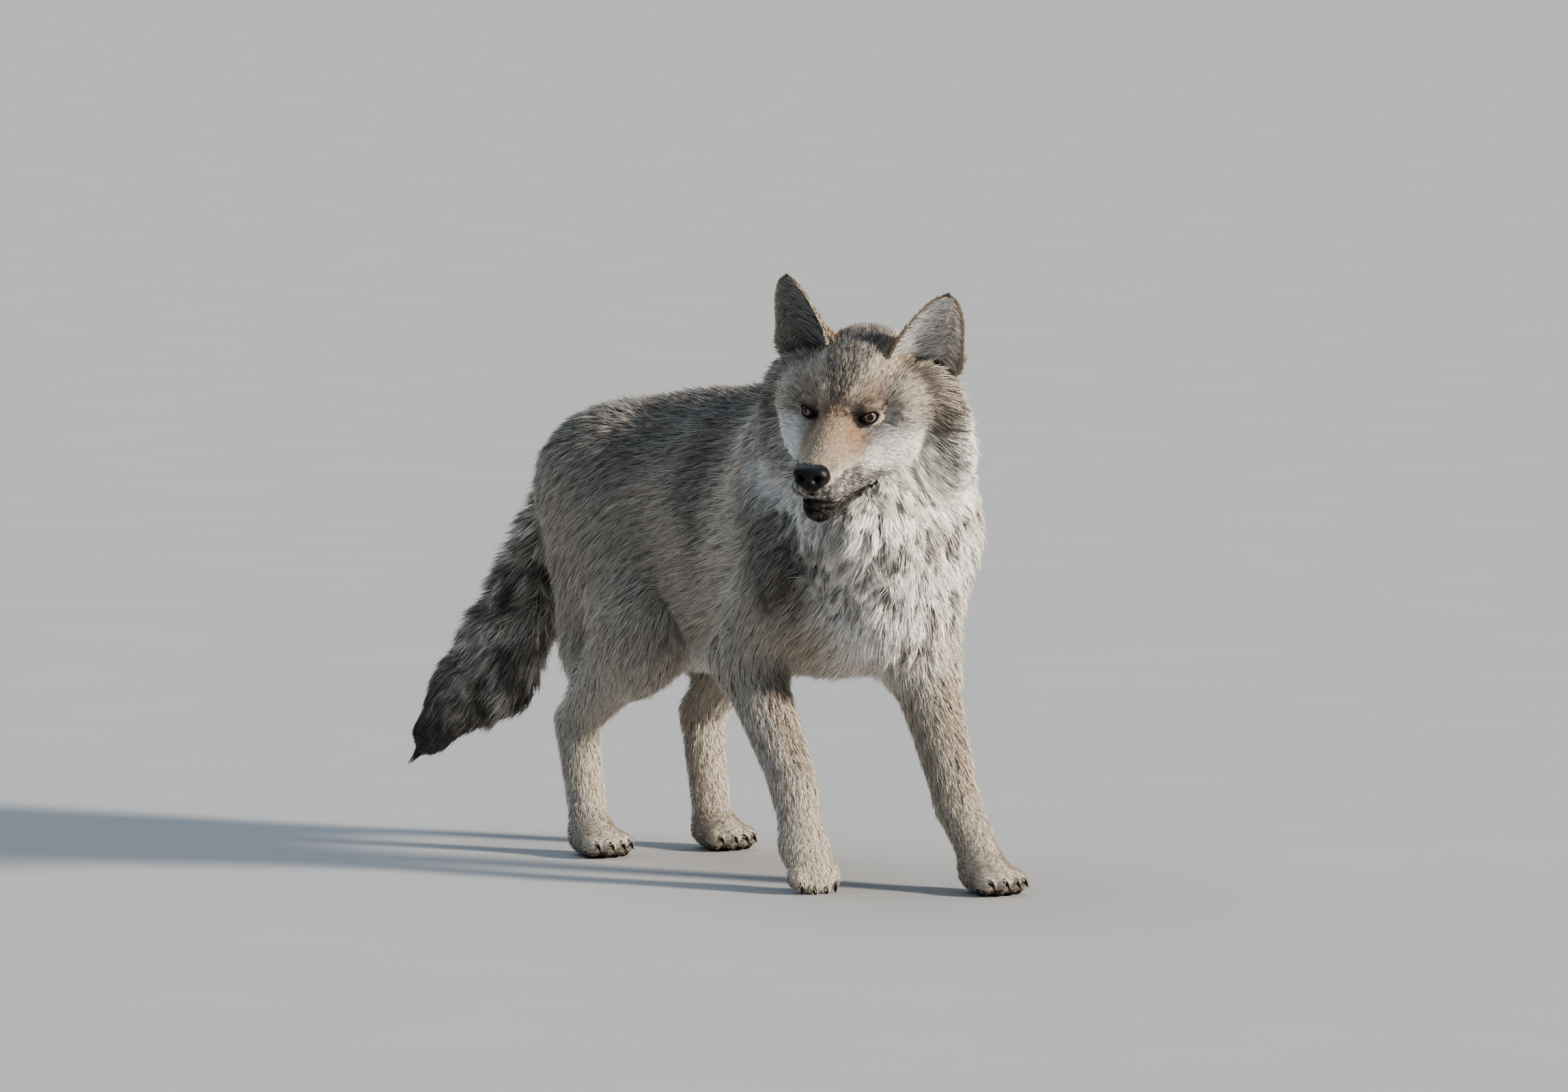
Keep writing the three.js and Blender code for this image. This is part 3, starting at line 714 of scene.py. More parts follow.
def markings(p):
    """The colour at the foot of the hair, and the share of hairs with dark tips."""
    h = to_head(p)
    fore, side, high = h[:, 0], np.abs(h[:, 1]), h[:, 2]
    foot = np.tile(BUFF, (len(p), 1))
    share = np.full(len(p), 0.14)

    def lay(colour, mask, dark=None):
        nonlocal foot, share
        foot = mix(foot, colour, mask)
        if dark is not None:
            share = share + (dark - share) * mask

    def stripe(middle, half):
        return np.exp(-(((x - middle + rough) / half) ** 2))

    x, y, z = p.T
    # trunk: a dark saddle, buff flanks, a pale belly, and a dark and a pale band down the shoulder
    rough = 14 * mottle(p, 90, 5)
    streaks = over(mottle(p * (1, 1, 0.3), 26, 8), 0.1, 0.9)
    lay(0.4 * CREAM + 0.6 * BUFF, over(z + rough, 430, 340), 0.09)
    lay(WHITE, over(z + rough, 350, 290) * over(np.abs(y), 90, 50), 0.02)
    lay(GREY, over(z + rough, 490, 590), 0.36)
    lay(SADDLE, over(z + rough, 580, 630), 0.52)
    lay(SADDLE, 0.75 * stripe(-8 - 0.26 * (z - 484), 34) * over(z, 370, 500), 0.5)
    lay(CREAM, 0.9 * stripe(58 + 0.22 * (z - 451), 42) * over(z, 300, 400) * over(z, 650, 610), 0.05)
    # bib and throat
    for s in SIDES:
        lay(GREY, 0.9 * spot(p, (190, s * 128, 500), (60, 60, 130)), 0.35)
        lay(SADDLE, spot(p, (190, s * 128, 480), (52, 60, 110)) * streaks, 0.85)
    # Grey over the right side of the neck only: painted shade of the side away from the key light.
    lay(GREY, spot(p, (190, -150, 530), (80, 60, 90), 0.7) * (0.6 + 0.4 * streaks), 0.5)
    bib = spot(p, (312, -20, 440), (104, 116, 150))
    lay(WHITE, bib, 0.05)
    lay(GREY, 0.9 * bib * streaks, 0.42)
    # A dark streaked patch at the right of the bib only: painted shade of the side away from the key
    # light.
    lay(SADDLE, 0.9 * spot(p, (236, -136, 418), (44, 40, 70)) * (0.35 + 0.65 * streaks), 0.9)
    # legs: cream, with a brown line down the front of the forearms
    lay(CREAM, over(z, 330, 240), 0.03)
    for _, _, elbow, wrist, _ in np.array(FORELEGS):
        ahead = taper(elbow + (34, 0, 0), wrist + (26, 0, 30), 1, 1)(p)
        lay(TAN, 0.4 * over(ahead, 22, 8) * over(z, 330, 280), 0.3)
    # tail: grizzled, darker below and towards its tip, with the dark spot of the gland
    tail = over(x, -440, -500)
    lay(CREAM, tail, 0.42)
    lay(GREY, tail * streaks, 0.8)
    lay(0.8 * SADDLE, tail * over(x, -560, -640), 0.75)
    lay(BLACK, tail * spot(p, (-564, -150, 268), (14, 22, 18), 2), 0.9)
    # head: grizzled crown, pale cheeks, and a ruff that is dark in its middle and pale at its edge
    on = over(fore, -190, -130) * over(high, -190, -120) * over(side, 170, 130)
    flecks = over(mottle(h, 9, 3), -0.6, 0.9)
    lay(WHITE, on * over(high, -20, -50), 0.05)
    lay(0.7 * CREAM + 0.3 * TAN, on * over(high, -10, 14), 0.28)
    lay(0.7 * CREAM + 0.3 * TAN, on * over(high, 40, 62), 0.22 + 0.22 * flecks)
    # White over the top of the nape tuft: painted rim light.
    lay(WHITE, spot(h, (-134, 0, 78), (30, 50, 22)), 0.1)
    for s in SIDES:
        lay(BUFF, 0.9 * spot(h, (-74, s * 84, 10), (50, 42, 32)), 0.42)
        lay(GREY, 0.9 * spot(h, (-92, s * 118, -46), (36, 34, 46)) * (0.4 + 0.6 * flecks), 0.75)
        if s > 0:
            lay(WHITE, spot(h, (-125, 146, -62), (60, 40, 84)), 0.04)
        else:
            # On the right side, away from the key light, grey painted shade stands in for the white
            # edge of the ruff and darkens the cheek.
            lay(GREY, 0.9 * spot(h, (-140, -120, -50), (50, 60, 80)), 0.35)
            lay(GREY, 0.8 * spot(h, (-74, -88, -52), (44, 34, 54), 0.7) * (0.5 + 0.5 * flecks), 0.4)
        lay(RUST, 0.6 * spot(h, (-92, s * 50, 56), (22, 22, 20)), 0.35)
        lay(WHITE, spot(h, (-28, s * 60, -40), (52, 38, 36)), 0.0)
        lay(WHITE, spot(h, (0, s * 48, -32), (28, 24, 22), 0.6), 0.0)
    snout = over(fore, -16, 14) * over(side, 50, 32) * on
    lay(TAN, 0.9 * snout * over(high, -66, -34), 0.06)
    lay(GREY, 0.55 * snout * spot(h, (90, 0, -24), (28, 14, 14), 0.6), 0.15)
    lay(WHITE, 0.75 * snout * over(-high, 44, 64), 0.2)
    lay(GREY, snout * over(-high, 44, 58) * (0.5 + 0.5 * flecks), 0.95)
    for s in SIDES:
        lay(TAN, 0.8 * spot(h, (-2, s * 40, 22), (30, 20, 14), 0.6), 0.08)
        lay(CREAM, 0.8 * spot(h, (4, s * 19, 24), (18, 7, 14), 0.7), 0.0)
        lay(RUST, 0.5 * spot(h, (26, s * 28, -22), (22, 11, 17), 0.6), 0.08)
        lay(GREY, 0.8 * spot(h, (88, s * 20, -36), (12, 8, 9)), 0.5)
        lay(GREY, 0.9 * spot(h, (20, s * 44, -78), (44, 18, 16), 0.7) * (0.5 + 0.5 * flecks), 0.8)
        # Cream behind each eye: painted light over the shade on the outer wall of the eye's hollow.
        lay(CREAM, 0.7 * spot(h, (-36, s * 64, 4), (28, 22, 20), 0.6), 0.25)
        lay(0.5 * (TAN + GREY), 0.7 * over(off_eye(p, s), 21, 17), 0.3)
    wedge = over(4 + 0.62 * (high - 12) - side - 3 * flecks, -6, 6) * over(high, 0, 18)
    lay(GREY, 0.7 * wedge * on, 0.6 + 0.25 * flecks)
    lay(BLACK, over(off_lips(p), 6, 3) * over(fore, 60, 10), 0.8)
    below, ahead = under_mouth(h)
    dark = over(below, -1.5, 1.5) * over(below, 44 * ahead**2 + 14, 26 * ahead**2 + 4)
    dark = dark * (0.86 + 0.14 * flecks) * over(fore, -12, -2) * over(side, 58, 50)
    lay(0.4 * BLACK, dark * on, 0.5)
    return np.clip(foot, 0, 1), np.clip(share, 0, 1)


def tint(mesh, colours):
    layer = mesh.color_attributes.new("tint", "FLOAT_COLOR", "POINT")
    layer.data.foreach_set("color", np.c_[colours, np.ones(len(colours))].astype(np.float32).ravel())


# The skin is a fifth darker than the foot of the hair over it: painted shade deep in the coat.
skin_colour = 0.8 * markings(skin_points)[0]
for s in SIDES:
    skin_colour *= 1 - 0.2 * over(off_eye(skin_points, s), 25, 18)[:, None]
tint(skin_mesh, mix(skin_colour, paint("1b1718"), bare(skin_points)))


def streaked_tints():
    """A group that breaks a tint up with fine streaks, from Least to Most of its brightness."""
    group = bpy.data.node_groups.new("streaked_tints", "ShaderNodeTree")
    for name in ("Tint", "Size", "Detail", "Least", "Most"):
        kind = "NodeSocketColor" if name == "Tint" else "NodeSocketFloat"
        group.interface.new_socket(name, in_out="INPUT", socket_type=kind)
    group.interface.new_socket("Colour", in_out="OUTPUT", socket_type="NodeSocketColor")
    start, end = group.nodes.new("NodeGroupInput"), group.nodes.new("NodeGroupOutput")
    node, join = tools(group)
    noise, times = node("TexNoise"), node("VectorMath", operation="SCALE")
    spread = node("MapRange", From_Min=0.3, From_Max=0.7)
    join(node("TexCoord"), "Object", noise, "Vector")
    join(start, "Size", noise, "Scale")
    join(start, "Detail", noise, "Detail")
    join(noise, "Fac", spread, "Value")
    join(start, "Least", spread, "To Min")
    join(start, "Most", spread, "To Max")
    join(start, "Tint", times, 0)
    join(spread, "Result", times, "Scale")
    join(times, "Vector", end, "Colour")
    return group


STREAKED_TINTS = streaked_tints()


def tinted_material(name, streaks, size, detail, **finish):
    """A material in the mesh's own tint, with streaks so much lighter and darker."""
    material, shader, node, join = new_material(name)
    values = {"Size": size, "Detail": detail, "Least": 1 - streaks, "Most": 1 + streaks}
    mixed = node("Group", node_tree=STREAKED_TINTS, **values)
    join(node("Attribute", attribute_name="tint"), "Color", mixed, "Tint")
    join(mixed, "Colour", shader, "Base Color")
    set_up(shader, Specular_IOR_Level=0.25, **finish)
    return material


def hair_material(name, streaks, size, roughness, sheen):
    finish = {"Roughness": roughness, "Sheen_Weight": sheen, "Sheen_Roughness": 0.5}
    return tinted_material(name, streaks, size, 3.0, **finish)


piece("skin", skin_mesh, hair_material("hide", 0.12, 60.0, 0.85, 0.0), "fur_body", *FLESH)

# --- Coat ---
# Guard hairs in tufts over all of the skin. Each tuft is a thin tapering blade that is traced from
# its root along the lie of the coat, rises to the coat's outline at its tip, and leans to its
# neighbours so that tips gather into locks. The hairs are joined into one mesh for each region.


def scatter(count, random, wanted):
    """Random roots on the skin, as dense as wanted(points) says."""
    skin_mesh.calc_loop_triangles()
    corners = np.zeros(len(skin_mesh.loop_triangles) * 3, np.int32)
    skin_mesh.loop_triangles.foreach_get("vertices", corners)
    a, b, c = skin_points[corners.reshape(-1, 3)].transpose(1, 0, 2)
    weight = np.linalg.norm(np.cross(b - a, c - a), axis=1) * wanted((a + b + c) / 3)
    pick = random.choice(len(a), count, p=weight / weight.sum())
    u, v = random.random((2, count, 1))
    u, v = np.where(u + v > 1, 1 - u, u), np.where(u + v > 1, 1 - v, v)
    return a[pick] + u * (b[pick] - a[pick]) + v * (c[pick] - a[pick])


def spin(v, axis, angle):
    """Turns each vector about its own axis, to which it is square."""
    return v * np.cos(angle)[:, None] + np.cross(axis, v) * np.sin(angle)[:, None]


def lock_of(p, size):
    """The number of the lock that each root belongs to."""
    bent = p + 0.3 * size * np.stack([mottle(p, 2.3 * size, s) for s in (1, 2, 3)], 1)
    cell = np.floor(bent / size).astype(np.int64)
    return np.unique(cell @ (73856093, 19349663, 83492791), return_inverse=True)[1].ravel()


def gather(rings, lock, pull):
    """Leans the hairs of a lock to each other, most at their tips."""
    number = np.bincount(lock)
    tip = rings[-1] - rings[0]
    mean = np.stack([np.bincount(lock, tip[:, n]) / number for n in range(3)], 1)[lock]
    middle = np.stack([np.bincount(lock, rings[0][:, n]) / number for n in range(3)], 1)[lock]
    for k in range(1, len(rings)):
        s = k / (len(rings) - 1)
        rings[k] = rings[k] + (pull * s * s)[:, None] * (middle + s * mean - rings[0] - s * tip)


HAIR_SEGMENTS = 2
STEEPEST = 0.7  # the most that a hair rises from the skin for each mm of its length


def trace(roots, random, lock, fling, stray):
    """The points along each hair, from its root, and the way out at each."""
    lie, _, length, _ = coat_facts(roots)
    _, gradient = level_and_normal(roots)
    together = random.normal(0, 1, (3, lock.max() + 1))[:, lock]
    alone = random.normal(0, 1, (3, len(roots)))
    length = length * np.clip(1 + 0.12 * together[0] + 0.13 * alone[0], 0.55, 1.45)
    turn = stray * together[1] + 0.10 * alone[1]
    crest = np.clip(0.94 + 0.11 * together[2] + 0.12 * alone[2], 0.5, 1.3)
    crest = np.where(random.random(len(roots)) < fling, crest * 1.3, crest)
    step = length / HAIR_SEGMENTS
    rings, outs = [roots], [unit(gradient)]
    p, last = roots, np.zeros(len(roots))
    for k in range(1, HAIR_SEGMENTS + 1):
        out = outs[-1]
        flat = lie - dot(lie, out)[:, None] * out
        hold = over(np.linalg.norm(flat, axis=1), 0.25, 0.7)  # at a tip the hair runs straight on
        way = unit(spin(unit(flat), out, turn) * hold[:, None] + unit(lie) * (1 - hold)[:, None])
        depth = coat_facts(p)[1]
        share = crest * (1 - (1 - k / HAIR_SEGMENTS) ** 1.7)
        high = np.minimum(depth * share, STEEPEST * k * step)
        ahead = np.sqrt(np.maximum(step**2 - (high - last) ** 2, (0.35 * step) ** 2))
        p = p + way * ahead[:, None]
        lie, depth, _, _ = coat_facts(p)
        base, gradient = level_and_normal(p)
        steep = np.maximum(dot(gradient, gradient), 0.16)
        wanted = np.minimum(depth * share, STEEPEST * k * step) - depth
        move = hold * np.clip((wanted - base) / steep, -1.5 * step, 1.5 * step)
        p = p + gradient * move[:, None]
        rings.append(p)
        outs.append(unit(gradient))
        last = high
    return rings, outs


BLADE_WIDTHS = (0.62, 1.0, 0.8)  # of a hair's rings, from its root
PATCH = 0.003  # the width of a tuft's own place on the map


def blades(name, rings, outs, width, roll, tints, spots, slot):
    """One mesh of flat tapering hairs. tints is one colour for each ring, spots the root's UV."""
    count, last = len(rings[0]), len(rings) - 1
    points, colours, across = [], [], []
    for k in range(last):
        along = unit(rings[k + 1] - rings[max(k - 1, 0)])
        half = spin(unit(np.cross(along, outs[k])), along, roll)
        half = half * (width * BLADE_WIDTHS[k])[:, None] / 2
        points += [rings[k] - half, rings[k] + half]
        colours += [tints[k], tints[k]]
        across += [(-0.5, k / last - 0.5), (0.5, k / last - 0.5)]
    points.append(rings[last])
    colours.append(tints[last])
    across.append((0.0, 0.5))
    each = 2 * last + 1
    faces = [(2 * k, 2 * k + 1, 2 * k + 3, 2 * k + 2) for k in range(last - 1)]
    faces.append((2 * last - 2, 2 * last - 1, 2 * last))
    order = np.array([corner for face in faces for corner in face])
    starts = np.cumsum([0] + [len(face) for face in faces[:-1]])
    mesh = bpy.data.meshes.new(name)
    mesh.vertices.add(count * each)
    mesh.loops.add(count * len(order))
    mesh.polygons.add(count * len(faces))
    mesh.vertices.foreach_set("co", metres(np.stack(points, 1)).astype(np.float32).ravel())
    hair = np.arange(count)[:, None]
    mesh.loops.foreach_set("vertex_index", (hair * each + order).astype(np.int32).ravel())
    mesh.polygons.foreach_set("loop_start", (hair * len(order) + starts).astype(np.int32).ravel())
    mesh.update(calc_edges=True)
    tint(mesh, np.stack(colours, 1).reshape(-1, 3))
    patch = spots[:, None] + PATCH * np.array(across)[order]
    uv = mesh.uv_layers.new(name="OFBake")
    uv.data.foreach_set("uv", patch.astype(np.float32).ravel())
    print(name, count, "tufts", count * (2 * last - 1), "triangles")
    piece(name, mesh, FUR[slot], slot)


def wrap(p, start, end, seam):
    """A place on the skin's own unwrap: round a line from start to end, and along it."""
    start, end = np.array(start, float), np.array(end, float)
    axis = unit(end - start)
    seam = unit(np.array(seam, float) - axis * (np.array(seam, float) @ axis))
    q = p - start
    along = q @ axis
    turn = np.arctan2(q @ np.cross(axis, seam), q @ seam) / math.tau + 0.5
    low, high = along.min() - 1, along.max() + 1
    return np.stack([0.004 + 0.992 * turn, 0.004 + 0.992 * (along - low) / (high - low)], 1)


def leg_wrap(p):
    """Each leg round its own axis, side by side on the map."""
    fore, left = p[:, 0] > -60, p[:, 1] > 0
    uv = np.zeros((len(p), 2))
    for number, (front, side) in enumerate(((0, 0), (0, 1), (1, 0), (1, 1))):
        mine = (fore == front) & (left == side)
        if mine.any():
            middle = p[mine].mean(0)
            uv[mine] = wrap(p[mine], middle, middle - (0, 0, 1), (-1, 0, 0)) * (0.245, 1)
            uv[mine, 0] += number * 0.25
    return uv


LONG_HAIR = 26  # hair longer than this gathers into full locks, and shorter hair into small ones
SOLE_HAIR = 4.5  # no hair grows nearer the ground than this
THIN = 1.0


def coat(part, count, seed, slot, line, lock, pull, **more):
    """The coat of one part of the skin, unwrapped round a line, in locks of the given size."""
    count, look = int(count * THIN), {**USUAL, **more}
    random = np.random.default_rng(seed)

    def wanted(p):
        _, _, length, found = coat_facts(p)
        dense = np.clip(30 / length, 0.6, 6) ** look["fine"]
        return (found == PARTS.index(part)) * dense * (p[:, 2] > SOLE_HAIR) * (bare(p) < 0.3)

    roots = scatter(count, random, wanted)
    long = coat_facts(roots)[2] > LONG_HAIR
    locks = np.where(long, 2 * lock_of(roots, lock), 2 * lock_of(roots, 0.6 * lock) + 1)
    locks = np.unique(locks, return_inverse=True)[1].ravel()
    rings, outs = trace(roots, random, locks, look["fling"], look["stray"])
    gather(rings, locks, pull * np.clip(random.normal(1, 0.3, count), 0.2, 1.6))
    foot, share = markings(roots)
    length = np.linalg.norm(rings[-1] - rings[0], axis=1)
    width = (0.5 + 0.022 * length) * random.uniform(0.75, 1.3, count) * look["wide"]
    light = 1 + look["vary"] * random.normal(size=locks.max() + 1)[locks]
    light = light + 0.13 * random.normal(size=count)
    clump = look["clump"]
    chance = (1 - clump) * random.random(count) + clump * random.random(locks.max() + 1)[locks]
    dark = np.clip((share - chance) / 0.16 + 0.5, 0, 1)[:, None]
    foot = foot * np.clip(light, 0.6, 1.35)[:, None]
    tip = foot * 1.06 + (DARK_TIP + 0.12 * foot - foot * 1.06) * dark
    tints = []
    # Each hair darkens towards its root: painted shade deep in the coat.
    for s in np.linspace(0, 1, HAIR_SEGMENTS + 1):
        tints.append(foot * (0.70 + 0.30 * min(1, 2 * s)) * (1 - s**1.5) + tip * s**1.5)
    roll = random.normal(0, 0.45, count)
    spots = wrap(roots, *line) if line else leg_wrap(roots)
    blades(f"coat_{part}", rings, outs, width, roll, tints, spots, slot)


FURS = {  # streaks, their size, roughness and sheen
    "fur_body": (0.10, 90.0, 0.72, 0.15),
    "fur_face": (0.10, 220.0, 0.72, 0.1),
    "fur_leg": (0.10, 160.0, 0.75, 0.1),
    "fur_tail": (0.12, 90.0, 0.75, 0.1),
}
FUR = {slot: hair_material(slot, *look) for slot, look in FURS.items()}
HEAD_LINE = (on_head(-120, 0, -20), on_head(100, 0, -50), HEAD_TURN @ (0, 0, -1))
NECK_LINE = ((120, 20, 540), (330, -80, 560), (-0.3, 0, -1))
TRUNK_LINE = ((-450, 0, 480), (300, 0, 480), (0, 0, -1))
TAIL_LINE = (TAIL_ROOT, TAIL_TIP, (1, 0, 0))

# fine makes short hair denser, and wide makes hairs broader. clump is how far the hairs of a lock
# have the same tips, and vary how far locks differ in brightness. fling is the share of hairs that
# stand off the coat, and stray how far the locks turn off its lie.
USUAL = {"fine": 0.5, "wide": 1.0, "clump": 0.35, "vary": 0.05, "fling": 0.04, "stray": 0.1}
TRUNK = {"clump": 0.2, "vary": 0.06, "stray": 0.14, "fling": 0.08}
coat("face", 64000, 11, "fur_face", HEAD_LINE, 5.0, 0.2, fine=0.7, clump=0.5, vary=0.07)
coat("head", 64000, 12, "fur_face", HEAD_LINE, 6.0, 0.35, fine=0.8, clump=0.5, vary=0.1, stray=0.14)
coat("neck", 64000, 13, "fur_body", NECK_LINE, 12.0, 0.5, clump=0.45, vary=0.14, stray=0.3)
coat("chest", 64000, 14, "fur_body", TRUNK_LINE, 8.0, 0.3, **TRUNK)
coat("loin", 52000, 15, "fur_body", TRUNK_LINE, 7.0, 0.25, **TRUNK)
coat("rump", 64000, 16, "fur_body", TRUNK_LINE, 7.0, 0.25, **TRUNK)
coat("legs", 56000, 17, "fur_leg", None, 5.0, 0.1, fine=0.4, vary=0.02, wide=0.85)
BRUSH = {"fling": 0.05, "clump": 0.45, "vary": 0.15, "stray": 0.18}
coat("tail", 36000, 18, "fur_tail", TAIL_LINE, 11.0, 0.45, **BRUSH)

# --- Ears ---
# Each ear is a thin upright leaf of gristle and skin, rounded at the tip, rolled to a cup at its
# foot and open to the front. Its back has short hair, its rim a fringe, and long pale hairs grow
# from both edges across the hollow. The foot of the hollow, and the long hairs of the right ear, are
# darkened with painted shade.

EAR_LENGTH = 114.0
EAR_WIDTH = 104.0
EAR_SKIN = 3.6
EAR_ROWS, EAR_COLUMNS = 30, 20
EAR_FOOT, EAR_TIP = -0.16, 0.995  # where the leaf starts and ends, as shares of the length
EAR_POSE = {  # the middle of the foot, the tip, and the way that the hollow faces
    1: ((-106, 80, 32), (-102, 118, 135), (0.84, 0.54, 0)),
    -1: ((-106, -74, 32), (-102, -103, 143), (0.90, -0.43, 0)),
}


def ear_place(pose, u, v, face):
    """Points of a sheet of the ear: u runs from foot to tip, v from edge to edge, face is +1 behind."""
    foot, tip, facing = [np.array(place, float) for place in pose]
    foot, tip = on_head(*foot), on_head(*tip)
    rise = unit(tip - foot)
    front = HEAD_TURN @ facing
    front = unit(front - (front @ rise) * rise)
    across = np.cross(rise, front)
    high = np.clip(u, 0, 1)
    half = EAR_WIDTH / 2 * np.sqrt(1 - np.minimum(np.abs(u), 0.996) ** 2.7) * (1 - 0.33 * high)
    bow = 0.95 - 0.5 * high + 0.08 * np.sin(5 * u)
    radius = half / np.sin(bow)
    reach = radius + face * 0.5 * EAR_SKIN * (1 - 0.5 * v * v) * (1 - 0.5 * high)
    turn = v * bow
    return (
        foot
        + (u * EAR_LENGTH)[:, None] * rise
        + (reach * np.sin(turn))[:, None] * across
        + (radius * np.cos(bow) - reach * np.cos(turn))[:, None] * front
    )


def ear_sheet(pose, u, v, face):
    """Points, the way towards the tip, the way across, and the way out of the sheet."""
    p = ear_place(pose, u, v, face)
    rise = unit(ear_place(pose, u + 0.01, v, face) - p)
    across = unit(ear_place(pose, u, v + 0.01, face) - p)
    return p, rise, across, -face * unit(np.cross(across, rise))


def ear_tint(u, v, face, s):
    """Grey-buff behind with a rusty foot on the crown's side, a cream rim, and painted shade in the
    foot of the hollow.
    """
    colour = mix(paint("a0937f"), paint("c9bba7"), over(s * v, 0.1, 0.6))
    colour = mix(colour, paint("b1855f"), 0.8 * over(0.62 - u, 0, 0.3) * (s * v < 0))
    colour = mix(colour, paint("d5c9b6"), over(np.abs(v), 0.82, 1.0))
    colour = mix(colour, paint("7d6c5b"), 0.5 * over(u, 0.86, 1.0))
    if face < 0:
        # The foot of the hollow is darkened with painted shade.
        hollow_shade = over(np.abs(v - 0.4 * s), 0.3, 0.08) * over(u, 0.42, 0.25)
        inside = mix(paint("d2c8bd"), paint("3b3230"), hollow_shade)
        colour = mix(inside, colour, over(np.abs(v), 0.78, 0.95))
    return colour


FUR["fur_ear"] = hair_material("fur_ear", 0.1, 200.0, 0.75, 0.1)
for s, pose in EAR_POSE.items():
    shape, tints = bmesh.new(), []
    for face in (1, -1):
        grid = bmesh.ops.create_grid(
            shape, x_segments=EAR_COLUMNS, y_segments=EAR_ROWS, size=1.0
        )["verts"]
        v, u, _ = np.array([vert.co for vert in grid]).T
        u = EAR_FOOT + (u + 1) / 2 * (EAR_TIP - EAR_FOOT)
        for vert, place in zip(grid, metres(ear_place(pose, u, v, face))):
            vert.co = place
        tints.append(ear_tint(u, v, face, s))
    rims = [edge for edge in shape.edges if edge.is_boundary]
    bmesh.ops.bridge_loops(shape, edges=rims)
    bmesh.ops.recalc_face_normals(shape, faces=shape.faces)
    ear_mesh = finished(f"ear_{SIDES[s]}_skin", shape)
    tint(ear_mesh, np.concatenate(tints))
    hide = hair_material(f"ear_{SIDES[s]}_hide", 0.12, 120.0, 0.8, 0.0)
    piece(ear_mesh.name, ear_mesh, hide, "fur_ear", f"ear_{SIDES[s]}")


def ear_hairs(count, random, kind):
    """Roots, ways and colours of the back hairs, the rim's fringe or the long hairs inside."""
    count, every = int(count * THIN), []
    face = 1 if kind == "back" else -1
    for number, (s, pose) in enumerate(EAR_POSE.items()):
        u = random.random(count) ** 0.85 * 0.99
        v = random.uniform(-1, 1, count)
        if kind == "back":
            length, lift = 9 + 15 * over(u, 0.35, 0.0), 0.22 + 0.12 * over(u, 0.3, 0.0)[:, None]
            aside = 0.25 * v
        elif kind == "rim":
            v = np.sign(v) * (1 - 0.08 * random.random(count) ** 2)
            length, lift = 6 + 12 * over(u, 0.45, 0.0), 0.3
            aside = (0.5 + 0.4 * random.random(count)) * np.sign(v)
        else:
            crown = random.random(count) < 0.66  # most grow on the crown's side
            v = np.where(crown, -s * (1 - 1.3 * np.abs(v)), s * (1 - 0.62 * np.abs(v)))
            u = u * 0.94
            length = (30 - 18 * u) * np.where(crown, 1, 0.8) * random.uniform(0.4, 1.15, count)
            lift = 0.45
            aside = (0.75 - 0.35 * u) * np.where(crown, s, -s)
        p, rise, across, out = ear_sheet(pose, u, v, face)
        way = rise + aside[:, None] * across
        way = unit(way + 0.12 * random.normal(size=(count, 3)))
        colour = ear_tint(u, v, face, s)
        if kind == "inside":
            pale = np.where(crown[:, None], paint("f4f1ec"), paint("efe5d8"))
            # The right ear's inner hairs are darkened to 0.45 of the left's: painted shade, as its
            # hollow faces away from the key light.
            colour = pale * (1 if s > 0 else 0.45) * random.uniform(0.72, 1.1, (count, 1))
        dark = (random.random(count) < (0.3 if kind == "back" else 0.06))[:, None]
        tip = colour + (DARK_TIP - colour) * 0.7 * dark
        rings, outs = [p - 0.3 * out], [out]
        for k in (1, 2, 3):
            bend = 0.5 * (k - 1) / 3 if kind == "inside" else 0.1 * k
            go = unit(way + lift * (1 - bend) * out)
            rings.append(rings[-1] + go * (length / 3)[:, None])
            outs.append(out)
        spots = np.stack([(number + 0.01 + 0.49 * (v + 1)) / 2, 0.005 + 0.99 * u], 1)
        every.append((*rings, *outs, colour, tip, spots, length))
    return [np.concatenate(column) for column in zip(*every)]


random = np.random.default_rng(21)
kinds = (("back", 4500), ("rim", 1500), ("inside", 6500))
groups = [ear_hairs(count, random, kind) for kind, count in kinds]
joined = [np.concatenate(column) for column in zip(*groups)]
rings, outs, (colour, tip, spots, length) = joined[:4], joined[4:8], joined[8:]
# The hairs darken towards their roots: painted shade deep in the ear's coat.
tints = [0.85 * colour, colour, colour + 0.3 * (tip - colour), tip]
roll = random.normal(0, 0.5, len(colour))
width = (0.7 + 0.03 * length) * random.uniform(0.8, 1.2, len(colour))
blades("coat_ears", rings, outs, width, roll, tints, spots, "fur_ear")

# --- Eyes ---
# Wet balls with an amber-brown iris, a dark ring round it and a round pupil. The clear front bulges
# a little over the iris. Each is turned on its own axis and sits in its socket behind the lids.

IRIS_EDGE = math.radians(43)
PUPIL_EDGE = math.radians(21)
EYE_TURNS, EYE_STEPS = 56, 64


def ball(name, turns, steps):
    """A closed ball, and the angles of its points off its front and round its axis."""
    shape = bmesh.new()
    bmesh.ops.create_uvsphere(shape, u_segments=turns, v_segments=steps, radius=1.0)
    mesh = finished(name, shape)
    x, y, z = points_of(mesh).T
    return mesh, np.arctan2(np.hypot(x, y), z), np.arctan2(y, x)


def eye_tint(turn, around):
    """A streaked iris, brightest round the pupil, a dark ring and the brown of the ball."""
    iris = paint("8d7664") * (0.85 + 0.25 * np.sin(around * 37) * np.sin(around * 11 + 1))[:, None]
    iris = iris * (0.75 + 0.45 * over(turn, IRIS_EDGE, PUPIL_EDGE))[:, None]
    colour = mix(iris, paint("1c120c"), over(turn, IRIS_EDGE * 0.84, IRIS_EDGE))
    colour = mix(colour, paint("5c4338"), over(turn, IRIS_EDGE, IRIS_EDGE * 1.12))
    return colour * over(turn, PUPIL_EDGE * 0.92, PUPIL_EDGE * 1.08)[:, None] + 0.002


